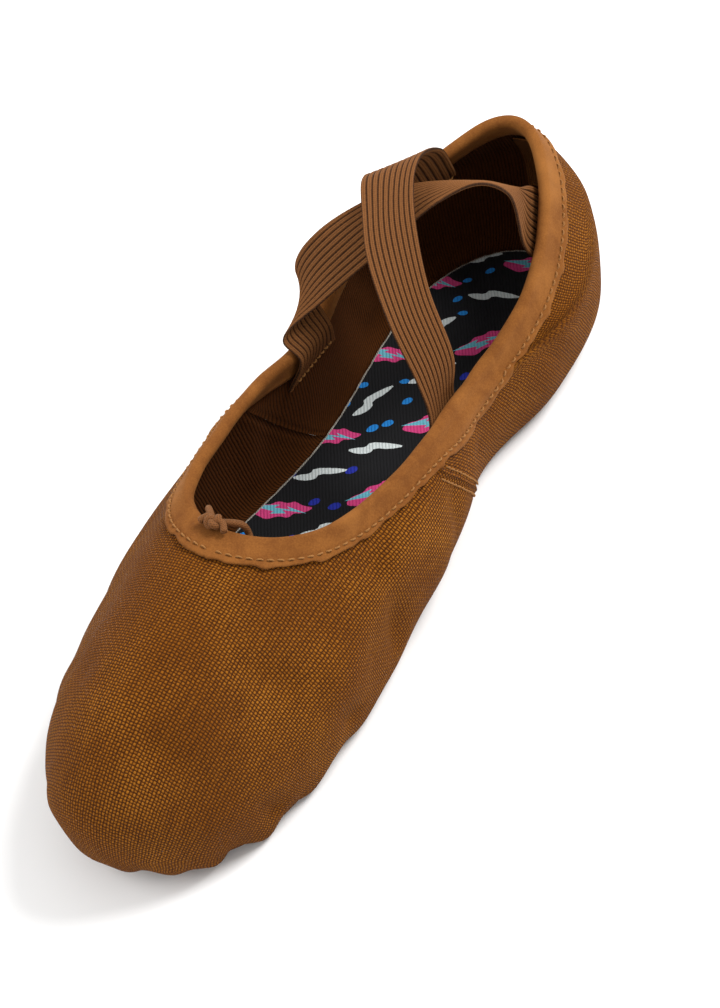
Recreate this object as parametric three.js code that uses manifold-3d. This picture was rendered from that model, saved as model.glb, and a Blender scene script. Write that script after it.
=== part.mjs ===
// A split-sole canvas ballet slipper with crossed elastic straps.
// Millimetres. +Z is up, the toe points along -Y, and the origin is on the floor
// under the middle of the slipper's length. The left and right sides are the same.
import * as THREE from 'three';
import { mergeVertices } from 'three/addons/utils/BufferGeometryUtils.js';
import Module from 'manifold-3d';

// ---- driving dimensions ----
const slipperLength = 238.5;      // toe tip to the heel, the heel's swell behind it left out
const ballHalfWidth = 37.8;       // widest, at the ball of the foot
const waistHalfWidth = 31.4;      // at the arch, by the side seams
const heelHalfWidth = 32;
const throatHeight = 53;          // floor to the ridge of the binding over the toes
const waistHeight = 42;           // the same at the side seams
const heelHeight = 56.7;          // the same at the back of the heel

const canvasThickness = 0.9;
const liningThickness = 0.6;
const suedeThickness = 1.2;       // sole patches
const boardThickness = 0.8;       // fibre insole boards
const padThickness = 2;           // foam under the ball and the heel
const linerThickness = 0.8;       // printed sock liner
const bindingThickness = 0.6;
const bindingDepth = 10;          // outer leg, from the ridge down
const bindingInnerDepth = 8;
const bindingMiddle = 6;          // where its legs start to curve into the roll
const cordRadius = 0.9;           // drawstring
const strapThickness = 1.2;
const strapTuck = 11;             // how far each strap end runs down inside the wall
const threadRadius = 0.25;
const gap = 0.3;                  // between neighbouring pieces
const seamGap = 0.45;             // between the edges of two panels

const canvasMargin = 8;           // canvas turned under the foot
const liningMargin = 3;
const throatExitRight = 12;       // degrees round the topline where the drawstring leaves the casing
const throatExitLeft = -20;
const seamTop = 90;               // degrees round the slipper where the side seams start
const seamBottom = 118;           // and where they end under the arch
const seamRowGap = 4.2;           // between the two rows of stitches on a side seam
const strapRise = 32;             // height of the crossing above the strap ends

// ---- shape of the slipper, as seven stations from the toe to the heel ----
// share: place along the length, from -0.5 at the toe
// swell, reach, lean: how far the wall stays upright, how far it comes in flat, and its slope at the ridge
const soleHeight = suedeThickness + gap;
const stations = [
  { name: 'toe tip', sole: [0, -0.44], wide: [0, -0.5, 22], top: [0, -0.175, throatHeight],
    swell: 22, reach: 38, lean: -5 },
  { name: 'toe corner', sole: [25.9, -0.389], wide: [26.7, -0.412, 16.5], top: [18.3, -0.133, throatHeight - 2.8],
    swell: 19, reach: 29, lean: 13 },
  { name: 'ball', sole: [ballHalfWidth - 5.5, -0.209], wide: [ballHalfWidth, -0.197, 17.5],
    top: [25.1, -0.036, throatHeight - 7.8], swell: 17.5, reach: 12, lean: 43 },
  { name: 'waist', sole: [waistHalfWidth - 5.5, -0.016], wide: [waistHalfWidth, 0.01, 22.5],
    top: [waistHalfWidth - 5.2, 0.064, waistHeight], swell: 17.5, reach: 6, lean: 63 },
  { name: 'quarter', sole: [waistHalfWidth - 9.5, 0.149], wide: [waistHalfWidth - 4.5, 0.18, 23.5],
    top: [waistHalfWidth - 6.8, 0.171, waistHeight - 3.5], swell: 14, reach: 12, lean: 69 },
  { name: 'heel side', sole: [heelHalfWidth - 9, 0.359], wide: [heelHalfWidth, 0.383, 21],
    top: [heelHalfWidth - 8.4, 0.328, heelHeight - 12], swell: 14.7, reach: 27.5, lean: 55 },
  { name: 'heel back', sole: [0, 0.4746], wide: [0, 0.526, 26], top: [0, 0.4735, heelHeight],
    swell: 12, reach: 18, lean: 60 },
];

// A closed curve through evenly spaced points whose curvature runs on smoothly at each of them.
class SmoothRing extends THREE.Curve {
  constructor(points) {
    super();
    const count = points.length;
    const at = (list, i) => list[(i + count) % count];
    let slopes = points.map(() => new THREE.Vector3());
    const passes = 40;
    for (let pass = 0; pass < passes; pass += 1) {
      slopes = points.map((_, i) => at(points, i + 1).clone().sub(at(points, i - 1)).multiplyScalar(3)
        .sub(at(slopes, i - 1)).sub(at(slopes, i + 1)).divideScalar(4));
    }
    this.spans = points.map((p, i) => new THREE.CubicBezierCurve3(
      p, p.clone().addScaledVector(slopes[i], 1 / 3),
      at(points, i + 1).clone().addScaledVector(at(slopes, i + 1), -1 / 3), at(points, i + 1)));
  }

  getPoint(share) {
    const place = THREE.MathUtils.euclideanModulo(share, 1) * this.spans.length;
    return this.spans[Math.floor(place)].getPoint(place % 1);
  }
}

function ring(pick) {
  const right = stations.map(pick);
  const left = right.slice(1, -1).reverse().map((p) => new THREE.Vector3(-p.x, p.y, p.z));
  return new SmoothRing([...right, ...left]);
}
const along = (share) => share * slipperLength;
const soleLine = ring((s) => new THREE.Vector3(s.sole[0], along(s.sole[1]), soleHeight));
const wideLine = ring((s) => new THREE.Vector3(s.wide[0], along(s.wide[1]), s.wide[2]));
const topLine = ring((s) => new THREE.Vector3(s.top[0], along(s.top[1]), s.top[2]));
const evenStations = [...stations, ...stations.slice(1, -1).reverse()];
const profile = new SmoothRing(evenStations.map((s) => new THREE.Vector3(s.swell, s.reach, s.lean)));

// A point on the outside of the canvas. turn: degrees round from the toe tip, +X side first.
// climb: 0 at the turn under the sole, 0.5 at the widest line, 1 at the ridge.
const cornerFlat = 0.7;           // how far the wall runs out flat, and then upright, at the turn under the sole
const cornerUpright = 0.62;
function skin(turn, climb) {
  const round = turn / 360;
  const wide = wideLine.getPoint(round);
  if (climb <= 0.5) {
    const sole = soleLine.getPoint(round);
    const flat = sole.clone().lerp(wide, cornerFlat).setZ(sole.z);
    const upright = wide.clone().setZ(THREE.MathUtils.lerp(wide.z, sole.z, cornerUpright));
    return new THREE.CubicBezierCurve3(sole, flat, upright, wide).getPoint(climb * 2);
  }
  const top = topLine.getPoint(round);
  const form = profile.getPoint(round);
  const lean = THREE.MathUtils.degToRad(form.z);
  const inward = new THREE.Vector2(top.x - wide.x, top.y - wide.y).normalize();
  const upright = wide.clone().setZ(wide.z + form.x);
  const flat = new THREE.Vector3(
    top.x - inward.x * Math.cos(lean) * form.y,
    top.y - inward.y * Math.cos(lean) * form.y,
    top.z - Math.sin(lean) * form.y);
  return new THREE.CubicBezierCurve3(wide, upright, flat, top).getPoint(climb * 2 - 1);
}

function facing(turn, climb) {
  const turnStep = 0.5;
  const climbStep = 0.004;
  const upper = Math.min(climb + climbStep, 1);
  const lower = Math.max(climb - climbStep, 0);
  const round = skin(turn + turnStep, climb).sub(skin(turn - turnStep, climb));
  const up = skin(turn, upper).sub(skin(turn, lower));
  return round.cross(up).normalize();
}

// A point off the canvas's outside: out is positive away from the foot.
function off(turn, climb, out) {
  return skin(turn, climb).addScaledVector(facing(turn, climb), out);
}

// A point on the flat margin turned under the foot, inset from the turn, raised above it.
function under(turn, inset, raised) {
  const here = skin(turn, 0);
  const tangent = skin(turn + 1, 0).sub(skin(turn - 1, 0));
  const inward = new THREE.Vector3(-tangent.y, tangent.x, 0).normalize();
  return here.addScaledVector(inward, inset).setZ(soleHeight + raised);
}

// How high up the wall a point lies that is so far down from the ridge, measured along the wall.
function climbBelowRidge(turn, down) {
  const steps = 60;
  let climb = 1;
  let left = down;
  let here = skin(turn, 1);
  while (left > 0 && climb > 0) {
    const next = skin(turn, climb - 1 / steps);
    const length = here.distanceTo(next);
    if (length >= left) return climb - left / length / steps;
    left -= length;
    climb -= 1 / steps;
    here = next;
  }
  return climb;
}
const offBelow = (turn, down, out) => off(turn, climbBelowRidge(turn, down), out);

// ---- layers of the wall, from the outside in ----
const canvasInside = -canvasThickness;
const liningOutside = canvasInside - gap;
const liningInside = liningOutside - liningThickness;
const bindingOutside = gap + bindingThickness;
const bindingInside = liningInside - gap - bindingThickness;
const casingRadius = (bindingOutside - bindingInside) / 2;      // the roll at the ridge
const casingCentre = (bindingOutside + bindingInside) / 2;
const cordDepth = casingRadius;                                 // of the drawstring below the ridge
const wallTop = cordDepth + cordRadius + gap;                   // top edges of canvas and lining
const facetAllowance = 0.8;                                     // for flat facets on the inside of a curved wall
const strapFace = bindingInside - gap - facetAllowance - strapThickness / 2;

// ---- small makers of closed bodies ----
function bodyFrom(points, faces) {
  const geometry = new THREE.BufferGeometry();
  geometry.setAttribute('position', new THREE.Float32BufferAttribute(points.flatMap((p) => [p.x, p.y, p.z]), 3));
  let volume = 0;
  for (const [a, b, c] of faces) volume += points[a].dot(points[b].clone().cross(points[c]));
  geometry.setIndex((volume > 0 ? faces : faces.map(([a, b, c]) => [a, c, b])).flat());
  geometry.computeVertexNormals();
  return geometry;
}

// A body whose sections are closed loops of points, in a row, with flat ends or joined into a ring.
// The second half of a section comes back along the first, so its facets are split the other way, and so are
// the rows that onLeft picks: neighbouring layers then have parallel facets and the two sides match.
function loft(sections, closed = false, onLeft = () => false) {
  const size = sections[0].length;
  const rows = closed ? sections.length : sections.length - 1;
  const faces = [];
  for (let i = 0; i < rows; i += 1) {
    const next = (i + 1) % sections.length;
    for (let j = 0; j < size; j += 1) {
      const k = (j + 1) % size;
      const [a, b, c, d] = [i * size + j, next * size + j, next * size + k, i * size + k];
      if (j < size / 2 !== onLeft(i)) faces.push([a, b, c], [a, c, d]);
      else faces.push([a, b, d], [b, c, d]);
    }
  }
  if (!closed) {
    const contour = sections[0].map((p, j) => j);
    for (const [first, flip] of [[0, true], [(sections.length - 1) * size, false]]) {
      // a wall's section is a folded strip, so its end is closed across the strip's thickness
      for (let j = 0; j < size / 2 - 1; j += 1) {
        const [a, b, c, d] = [contour[j], contour[j + 1], size - 2 - j, size - 1 - j].map((k) => first + k);
        faces.push(flip ? [a, b, c] : [a, c, b], flip ? [a, c, d] : [a, d, c]);
      }
    }
  }
  return bodyFrom(sections.flat(), faces);
}

// A fabric panel of the upper between two edges, each an angle that depends on the height.
const lowerRows = [0, 0.1, 0.22, 0.35, 0.5, 0.62, 0.74, 0.87];   // shares of the climb to the binding's lower edge
const upperRows = [bindingDepth, bindingMiddle, wallTop];        // depths below the ridge, shared with the binding
function climbs(turn) {
  const bindingEdge = climbBelowRidge(turn, bindingDepth);
  return [...lowerRows.map((share) => share * bindingEdge), ...upperRows.map((down) => climbBelowRidge(turn, down))];
}
function panel(columns, from, to, outer, inner, margin) {
  const sections = [];
  for (let i = 0; i <= columns; i += 1) {
    const at = (climb) => THREE.MathUtils.lerp(from(climb), to(climb), i / columns);
    const rows = climbs(at(1));
    const line = (out) => [under(at(0), margin, -out), ...rows.map((climb) => off(at(climb), climb, out))];
    sections.push([...line(outer), ...line(inner).reverse()]);
  }
  return loft(sections, false, (i) => (i + 0.5) * (to(0) - from(0)) / columns + from(0) < 0 || from(0) > 180);
}

function ribbon(edgeA, edgeB, thickness, steps) {
  const sections = [];
  for (let i = 0; i <= steps; i += 1) {
    const [a, b] = [edgeA.getPoint(i / steps), edgeB.getPoint(i / steps)];
    const run = edgeA.getTangent(i / steps).add(edgeB.getTangent(i / steps));
    const normal = run.cross(b.clone().sub(a)).normalize();
    const shift = (p, s) => p.clone().addScaledVector(normal, (s * thickness) / 2);
    sections.push([shift(a, 1), shift(b, 1), shift(b, -1), shift(a, -1)]);
  }
  return loft(sections);
}

function tube(points, radius, steps, sides = 6) {
  const circle = new THREE.Shape();
  circle.absarc(0, 0, radius, 0, Math.PI * 2);
  const path = new THREE.CatmullRomCurve3(points);
  const outline = new THREE.Shape(circle.getSpacedPoints(sides).slice(0, sides));
  const geometry = new THREE.ExtrudeGeometry(outline, { steps, extrudePath: path });
  return cleaned(geometry);
}

function cleaned(geometry) {
  geometry.deleteAttribute('normal');
  geometry.deleteAttribute('uv');
  return mergeVertices(geometry, 1e-4);
}

function plate(outline, thickness, height) {
  const geometry = new THREE.ExtrudeGeometry(new THREE.Shape(outline), { depth: thickness, bevelEnabled: false });
  geometry.translate(0, 0, height);
  return cleaned(geometry);
}

// The outline of a flat piece inside the sole line, round the toe or the heel, with a bowed cut end.
function footOutline(middle, spread, inset, bow) {
  const points = [];
  const pitch = 6;
  const count = Math.round((2 * spread) / pitch);
  for (let i = 0; i <= count; i += 1) {
    const turn = middle - spread + (i * 2 * spread) / count;
    const p = under(turn, inset, 0);
    points.push(new THREE.Vector2(p.x, p.y));
  }
  const [first, last] = [points[0], points[points.length - 1]];
  const end = new THREE.QuadraticBezierCurve(last, new THREE.Vector2(0, first.y + bow), first);
  return [...points, ...end.getPoints(6).slice(1, -1)];
}

const wasm = await Module();
wasm.setup();
const solid = (geometry) => new wasm.Manifold(new wasm.Mesh({
  numProp: 3,
  vertProperties: new Float32Array(geometry.attributes.position.array),
  triVerts: new Uint32Array(geometry.index.array),
}));
function geometryOf(manifold) {
  const mesh = manifold.getMesh();
  const geometry = new THREE.BufferGeometry();
  geometry.setAttribute('position', new THREE.BufferAttribute(new Float32Array(mesh.vertProperties), 3));
  geometry.setIndex(new THREE.BufferAttribute(new Uint32Array(mesh.triVerts), 1));
  geometry.computeVertexNormals();
  return geometry;
}

// ---- the slipper ----
const slipper = new THREE.Group();
const finishes = {
  canvas: { color: 0x87540f, roughness: 0.9 },
  jersey: { color: 0x4a2708, roughness: 0.95 },
  suede: { color: 0xa86c38, roughness: 0.95 },
  board: { color: 0xb59a72, roughness: 0.9 },
  foam: { color: 0xd9cfba, roughness: 0.95 },
  print: { color: 0x16151a, roughness: 0.85 },
  elastic: { color: 0x8d5a3a, roughness: 0.85 },
  cord: { color: 0x8a5a3c, roughness: 0.8 },
  thread: { color: 0xa3703f, roughness: 0.7 },
};
function add(name, finish, geometry) {
  const mesh = new THREE.Mesh(geometry, new THREE.MeshStandardMaterial({ ...finishes[finish], metalness: 0 }));
  mesh.name = name;
  slipper.add(mesh);
}

// Upper: one vamp round the toe and two quarters that meet it at the side seams and each other at the heel.
const degreesPerMillimetre = (turn, climb) => 1 / skin(turn + 0.5, climb).distanceTo(skin(turn - 0.5, climb));
const seamStart = climbBelowRidge(seamTop, bindingDepth + 1);
function seam(climb) {
  const fall = THREE.MathUtils.clamp((seamStart - climb) / seamStart, 0, 1);
  return THREE.MathUtils.lerp(seamTop, seamBottom, fall);
}
const beside = (turn, climb, way) => turn + way * (seamGap / 2) * degreesPerMillimetre(turn, climb);
const vampEdge = (climb) => beside(seam(climb), climb, -1);
const quarterEdge = (climb) => beside(seam(climb), climb, 1);
const heelEdge = (climb) => beside(180, climb, -1);
const mirrored = (edge) => (climb) => 360 - edge(climb);
const vampColumns = 24;
const quarterColumns = 12;
const layers = {
  outer: { finish: 'canvas', out: 0, inn: canvasInside, margin: canvasMargin },
  lining: { finish: 'jersey', out: liningOutside, inn: liningInside, margin: liningMargin },
};
for (const [layer, { finish, out, inn, margin }] of Object.entries(layers)) {
  add(`vamp_${layer}`, finish, panel(vampColumns, (c) => -vampEdge(c), vampEdge, out, inn, margin));
  add(`quarter_${layer}_right`, finish, panel(quarterColumns, quarterEdge, heelEdge, out, inn, margin));
  add(`quarter_${layer}_left`, finish,
    panel(quarterColumns, mirrored(heelEdge), mirrored(quarterEdge), out, inn, margin));
}

// Sole, boards, pads and sock liner, in the order they are stacked.
const patchInset = 3;
const toeSpread = 84;             // degrees either side of the toe tip that the front pieces cover
const heelSpread = 46;            // and either side of the heel back
const boardHeight = soleHeight + canvasThickness + gap;
const padHeight = boardHeight + boardThickness + gap;
const linerHeight = padHeight + padThickness + gap;
add('front_sole', 'suede', plate(footOutline(0, toeSpread, patchInset, 16), suedeThickness, 0));
add('heel_sole', 'suede', plate(footOutline(180, heelSpread, patchInset, -16), suedeThickness, 0));
const boardInset = liningMargin + 1.5;
add('forefoot_board', 'board', plate(footOutline(0, toeSpread, boardInset, 12), boardThickness, boardHeight));
add('heel_board', 'board', plate(footOutline(180, heelSpread, boardInset, -12), boardThickness, boardHeight));
const padInset = boardInset + 2;
add('forefoot_pad', 'foam', plate(footOutline(0, toeSpread - 3, padInset, 10), padThickness, padHeight));
add('heel_pad', 'foam', plate(footOutline(180, heelSpread - 3, padInset, -10), padThickness, padHeight));
const linerInset = 2;
const linerOutline = [];
for (let turn = 0; turn < 360; turn += 7.5) {
  const p = under(turn, linerInset, 0);
  linerOutline.push(new THREE.Vector2(p.x, p.y));
}
add('sock_liner', 'print', plate(linerOutline, linerThickness, linerHeight));

// Canvas under the arch, between the turned-under margins.
const archInset = canvasMargin + gap;
const archFrom = 70;
const archTo = 150;
const archOutline = [];
for (let turn = archFrom; turn <= archTo; turn += 8) archOutline.push(under(turn, archInset, 0));
for (let turn = 360 - archTo; turn <= 360 - archFrom; turn += 8) archOutline.push(under(turn, archInset, 0));
add('arch_panel', 'canvas', plate(archOutline.map((p) => new THREE.Vector2(p.x, p.y)), canvasThickness, soleHeight));

// Binding: folded over the raw edges, with a roll at the ridge that is the drawstring's casing.
function bindingSection(turn) {
  const rollTop = (radius) => [0, 36, 72, 108, 144, 180].map((degrees) => {
    const angle = THREE.MathUtils.degToRad(degrees);
    return [cordDepth - radius * Math.sin(angle), casingCentre + radius * Math.cos(angle)];
  });
  const outside = [[bindingDepth, bindingOutside], [bindingMiddle, bindingOutside], ...rollTop(casingRadius),
    [bindingMiddle, bindingInside], [bindingInnerDepth, bindingInside]];
  const [innerFace, outerFace] = [bindingInside + bindingThickness, bindingOutside - bindingThickness];
  const inside = [[bindingInnerDepth, innerFace], [bindingMiddle, innerFace],
    ...rollTop(casingRadius - bindingThickness).reverse(), [bindingMiddle, outerFace], [bindingDepth, outerFace]];
  return [...outside, ...inside].map(([down, out]) => offBelow(turn, down, out));
}
const toplineStep = 7.5;
const toplineTurns = Array.from({ length: 360 / toplineStep }, (_, i) => i * toplineStep);
// The drawstring lies in the casing round the heel and comes out through a slit either side of the throat.
const leaveOver = 8;              // degrees along the topline over which it comes out of the casing
const slitLength = 9;
function slit(turn) {
  const box = new THREE.BoxGeometry(slitLength, bindingThickness * 4, (cordRadius + gap) * 2);
  const out = facing(turn, 1);
  const along = skin(turn + 1, 1).sub(skin(turn - 1, 1)).normalize();
  box.applyMatrix4(new THREE.Matrix4().makeBasis(along, out, along.clone().cross(out)));
  const centre = offBelow(turn, cordDepth, bindingInside);
  box.translate(centre.x, centre.y, centre.z);
  return solid(cleaned(box));
}
const [slitRight, slitLeft] = [throatExitRight + leaveOver / 2, throatExitLeft - leaveOver / 2];
add('binding', 'suede', geometryOf(
  solid(loft(toplineTurns.map(bindingSection), true, (i) => toplineTurns[i] >= 180)).subtract(slit(slitRight)).subtract(slit(slitLeft))));
const cordSides = 6;
const cordSection = (turn, out) => Array.from({ length: cordSides }, (_, i) => {
  const angle = (i / cordSides) * Math.PI * 2;
  return offBelow(turn, cordDepth - cordRadius * Math.cos(angle), out + cordRadius * Math.sin(angle));
});
const cordOutside = bindingInside - cordRadius - gap;
const inCasing = toplineTurns.filter((turn) => turn > throatExitRight + leaveOver && turn < 360 + throatExitLeft - leaveOver);
add('drawstring', 'cord', loft([
  cordSection(throatExitRight, cordOutside),
  ...inCasing.map((turn) => cordSection(turn, casingCentre)),
  cordSection(360 + throatExitLeft, cordOutside),
]));

// The knot on the binding at the throat, with the two strands that reach it and its short ends.
const rim = (turn, down, out) => {
  const inward = skin(turn, 1).sub(skin(turn, 0.97)).normalize();
  return skin(turn, 1).addScaledVector(inward, -down).addScaledVector(facing(turn, 1), out);
};
const knotTurn = -4;
const knotRadius = 2.6;
const knot = rim(knotTurn, -0.6, bindingOutside + knotRadius);
// each strand rises inside the roll, passes above it and comes down to the knot
const strandRise = 2.2;
const strand = (turn, way) => tube([
  rim(turn - way * 2.5, 1.4, cordOutside - gap), rim(turn - way * 6, -strandRise, -knotRadius),
  rim(turn - way * 8, -strandRise, bindingThickness), knot,
], cordRadius, 8);
const tail = (way) => tube([
  knot, rim(knotTurn + way * 3, 1, bindingOutside + 2.4), rim(knotTurn + way * 5.5, 3, bindingOutside + 1.6),
], cordRadius, 4);
const lump = cleaned(new THREE.IcosahedronGeometry(knotRadius, 1));
lump.translate(knot.x, knot.y, knot.z);
add('drawstring_knot', 'cord', geometryOf([tail(-1), tail(1), strand(throatExitRight, 1), strand(throatExitLeft, -1)]
  .reduce((body, piece) => body.add(solid(piece)), solid(lump))));

// Straps: each is sewn inside one side of the front and crosses to the other side of the back.
const strapFront = { over: [96, 112], under: [240, 257] };
const strapBack = { over: [197, 209], under: [151, 163] };
const fullRise = 32;               // the rise that the heights below were set for
// How each edge of a strap arches between its two ends: share of the way, distance aside, height above the line.
const strapArch = {
  over: [
    [[0.07, 1.5, 7.5], [0.21, 6, 19.5], [0.43, 9, 28], [0.59, 8.5, 31.5], [0.75, 7.5, 32], [0.91, 5, 21.5]],
    [[0.02, -1.5, 10.5], [0.18, 3.5, 23], [0.4, 6, 31.5], [0.56, 6, 32], [0.69, 4.5, 28.5], [0.86, 1, 17]],
  ],
  under: [
    [[-0.02, 3, 7], [-0.03, 12, 13], [0.09, 9.5, 22.5], [0.43, 4.5, 24.5], [0.74, -4, 17.5], [0.88, -5.5, 9.5]],
    [[-0.03, 5, 5], [0.17, 6.5, 10.5], [0.44, 3.5, 21.5], [0.68, 2, 30], [0.84, 0.5, 31.5], [0.95, -0.5, 24.5]],
  ],
};
function strapEdge(front, back, vias) {
  const sewn = (turn) => offBelow(turn, strapTuck, strapFace);
  const rimPoint = (turn) => offBelow(turn, 1, strapFace);
  const [a, b] = [rimPoint(front), rimPoint(back)];
  const aside = new THREE.Vector3(a.y - b.y, b.x - a.x, 0).normalize();
  const arch = vias.map(([share, side, rise]) => a.clone().lerp(b, share).addScaledVector(aside, side)
    .add(new THREE.Vector3(0, 0, (rise * strapRise) / fullRise)));
  return new THREE.CatmullRomCurve3([sewn(front), a, ...arch, b, sewn(back)], false, 'centripetal');
}
// Each end is held to the lining by a short stitched bar.
const tackPlace = 0.025;          // how far along the strap's edges the bars lie
function tack(edgeA, edgeB, share) {
  const [a, b] = [edgeA.getPoint(share), edgeB.getPoint(share)];
  const normal = edgeA.getTangent(share).cross(b.clone().sub(a)).normalize();
  const inward = normal.multiplyScalar(-Math.sign(normal.x * a.x) * (strapThickness / 2 + gap + threadRadius));
  return tube([a.clone().lerp(b, 0.1).add(inward), a.clone().lerp(b, 0.9).add(inward)], threadRadius, 2, 5);
}
const straps = [
  { name: 'over', near: 0, far: 1, tacks: ['front_right', 'back_left'] },
  { name: 'under', near: 1, far: 0, tacks: ['front_left', 'back_right'] },
];
for (const { name, near, far, tacks } of straps) {
  const edge = (front, back) => strapEdge(strapFront[name][front], strapBack[name][back], strapArch[name][front]);
  const [edgeA, edgeB] = [edge(near, far), edge(far, near)];
  add(`strap_${name}`, 'elastic', ribbon(edgeA, edgeB, strapThickness, 22));
  add(`strap_tack_${tacks[0]}`, 'thread', tack(edgeA, edgeB, tackPlace));
  add(`strap_tack_${tacks[1]}`, 'thread', tack(edgeA, edgeB, 1 - tackPlace));
}

// Threads on the outside: one row along the binding, two beside each side seam, one up the heel.
const threadFace = gap + threadRadius;
const toplineRow = toplineTurns.map((turn) => offBelow(turn, bindingDepth - 2, bindingOutside + threadFace));
const ringOf = (points, radius) => {
  const sides = 5;
  return loft(points.map((p, i) => {
    const run = points[(i + 1) % points.length].clone().sub(points.at(i - 1)).normalize();
    const side = new THREE.Vector3(0, 0, 1).cross(run).normalize();
    const rise = run.clone().cross(side);
    return Array.from({ length: sides }, (_, k) => {
      const angle = (k / sides) * Math.PI * 2;
      return p.clone().addScaledVector(side, radius * Math.cos(angle)).addScaledVector(rise, radius * Math.sin(angle));
    });
  }), true);
};
add('topline_thread', 'thread', ringOf(toplineRow, threadRadius));
for (const [side, mirror] of [['right', (turn) => turn], ['left', (turn) => 360 - turn]]) {
  for (const [row, shift] of [['front', -seamRowGap / 2], ['back', seamRowGap / 2]]) {
    const points = [0.96, 0.8, 0.65, 0.5, 0.33, 0.15].map((share) => {
      const climb = share * seamStart;
      const turn = seam(climb) + shift * degreesPerMillimetre(seam(climb), climb);
      return off(mirror(turn), climb, threadFace);
    });
    add(`side_seam_thread_${row}_${side}`, 'thread', tube(points, threadRadius, 8, 5));
  }
}
const heelRow = [bindingDepth + 2, 20, 30, 40].map((down) => offBelow(180, down, threadFace));
add('heel_seam_thread', 'thread', tube(heelRow, threadRadius, 6, 5));

// A tape over the lining's seam inside the heel.
const tapeWidth = 10;
const tapeThickness = 0.6;
const tapeFace = liningInside - gap - facetAllowance;
const tapeTurns = [-1, -0.5, 0, 0.5, 1].map((share) => 180 + (share * tapeWidth) / 2 * degreesPerMillimetre(180, 0.6));
const tapeRows = climbs(180).slice(3, lowerRows.length);
add('heel_tape', 'suede', loft(tapeRows.map((climb) => {
  const face = (out) => tapeTurns.map((turn) => off(turn, climb, out));
  return [...face(tapeFace), ...face(tapeFace - tapeThickness).reverse()];
})));

// The origin is under the middle of the slipper's length.
const extent = new THREE.Box3().setFromObject(slipper);
slipper.position.y = -(extent.min.y + extent.max.y) / 2;

export default slipper;
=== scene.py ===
# A split-sole canvas ballet slipper with crossed elastic straps.
# Lengths in the making are millimetres, in the slipper's own frame: +Z up, toe along -Y, origin on the floor.
import math
import random

import bmesh
import bpy
import numpy as np
from mathutils import Matrix, Vector
from mathutils.geometry import delaunay_2d_cdt


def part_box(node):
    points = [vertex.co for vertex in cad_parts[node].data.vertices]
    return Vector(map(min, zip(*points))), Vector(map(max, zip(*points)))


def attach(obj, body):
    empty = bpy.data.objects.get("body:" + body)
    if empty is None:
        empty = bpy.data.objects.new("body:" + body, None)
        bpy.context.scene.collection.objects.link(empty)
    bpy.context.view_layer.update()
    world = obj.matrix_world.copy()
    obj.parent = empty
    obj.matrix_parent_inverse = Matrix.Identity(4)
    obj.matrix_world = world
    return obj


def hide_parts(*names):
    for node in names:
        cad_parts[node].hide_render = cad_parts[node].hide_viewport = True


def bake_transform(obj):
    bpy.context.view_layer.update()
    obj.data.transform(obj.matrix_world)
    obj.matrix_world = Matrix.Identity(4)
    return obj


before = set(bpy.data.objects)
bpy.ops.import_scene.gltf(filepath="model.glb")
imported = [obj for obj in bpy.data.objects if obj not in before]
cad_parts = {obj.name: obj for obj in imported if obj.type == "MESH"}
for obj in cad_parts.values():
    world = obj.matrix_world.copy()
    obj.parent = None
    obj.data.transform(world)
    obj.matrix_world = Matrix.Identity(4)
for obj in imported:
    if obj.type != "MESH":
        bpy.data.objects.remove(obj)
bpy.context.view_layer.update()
MM = 0.001

# ---- sizes of the slipper ----
SLIPPER_LENGTH = 238.5
BALL, WAIST, HEEL = 37.8, 31.4, 32          # half widths
THROAT_HIGH, WAIST_HIGH, HEEL_HIGH = 53, 42, 56.7
CANVAS, LINING, SUEDE, BOARD, PAD, LINER = 0.9, 0.6, 1.2, 0.8, 2, 0.8
BINDING, BINDING_DEPTH, BINDING_INNER, BINDING_MIDDLE = 0.6, 10, 8, 6
CORD_RADIUS = 0.9
STRAP_THICK, STRAP_TUCK = 1.2, 11
GAP, SEAM_GAP, SEAM_ROWS = 0.3, 0.06, 4.2
CANVAS_MARGIN, LINING_MARGIN = 8, 3
SEAM_TOP, SEAM_BOTTOM = 90, 118
THREAD = 0.25
SOLE_HIGH = SUEDE + GAP
BOARD_HIGH = SOLE_HIGH + CANVAS + GAP
PAD_HIGH = BOARD_HIGH + BOARD + GAP
LINER_HIGH = PAD_HIGH + PAD + GAP

# layers of the wall, measured out from the canvas's face
LINING_OUT = -CANVAS - GAP
LINING_IN = LINING_OUT - LINING
BINDING_OUT = GAP + BINDING
BINDING_IN = LINING_IN - GAP - BINDING
ROLL = (BINDING_OUT - BINDING_IN) / 2
ROLL_CENTRE = (BINDING_OUT + BINDING_IN) / 2
WALL_TOP = ROLL + CORD_RADIUS + GAP
FACET = 0.8
STRAP_FACE = BINDING_IN - GAP - FACET - STRAP_THICK / 2
CORD_OUT = BINDING_IN - CORD_RADIUS - GAP

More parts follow.
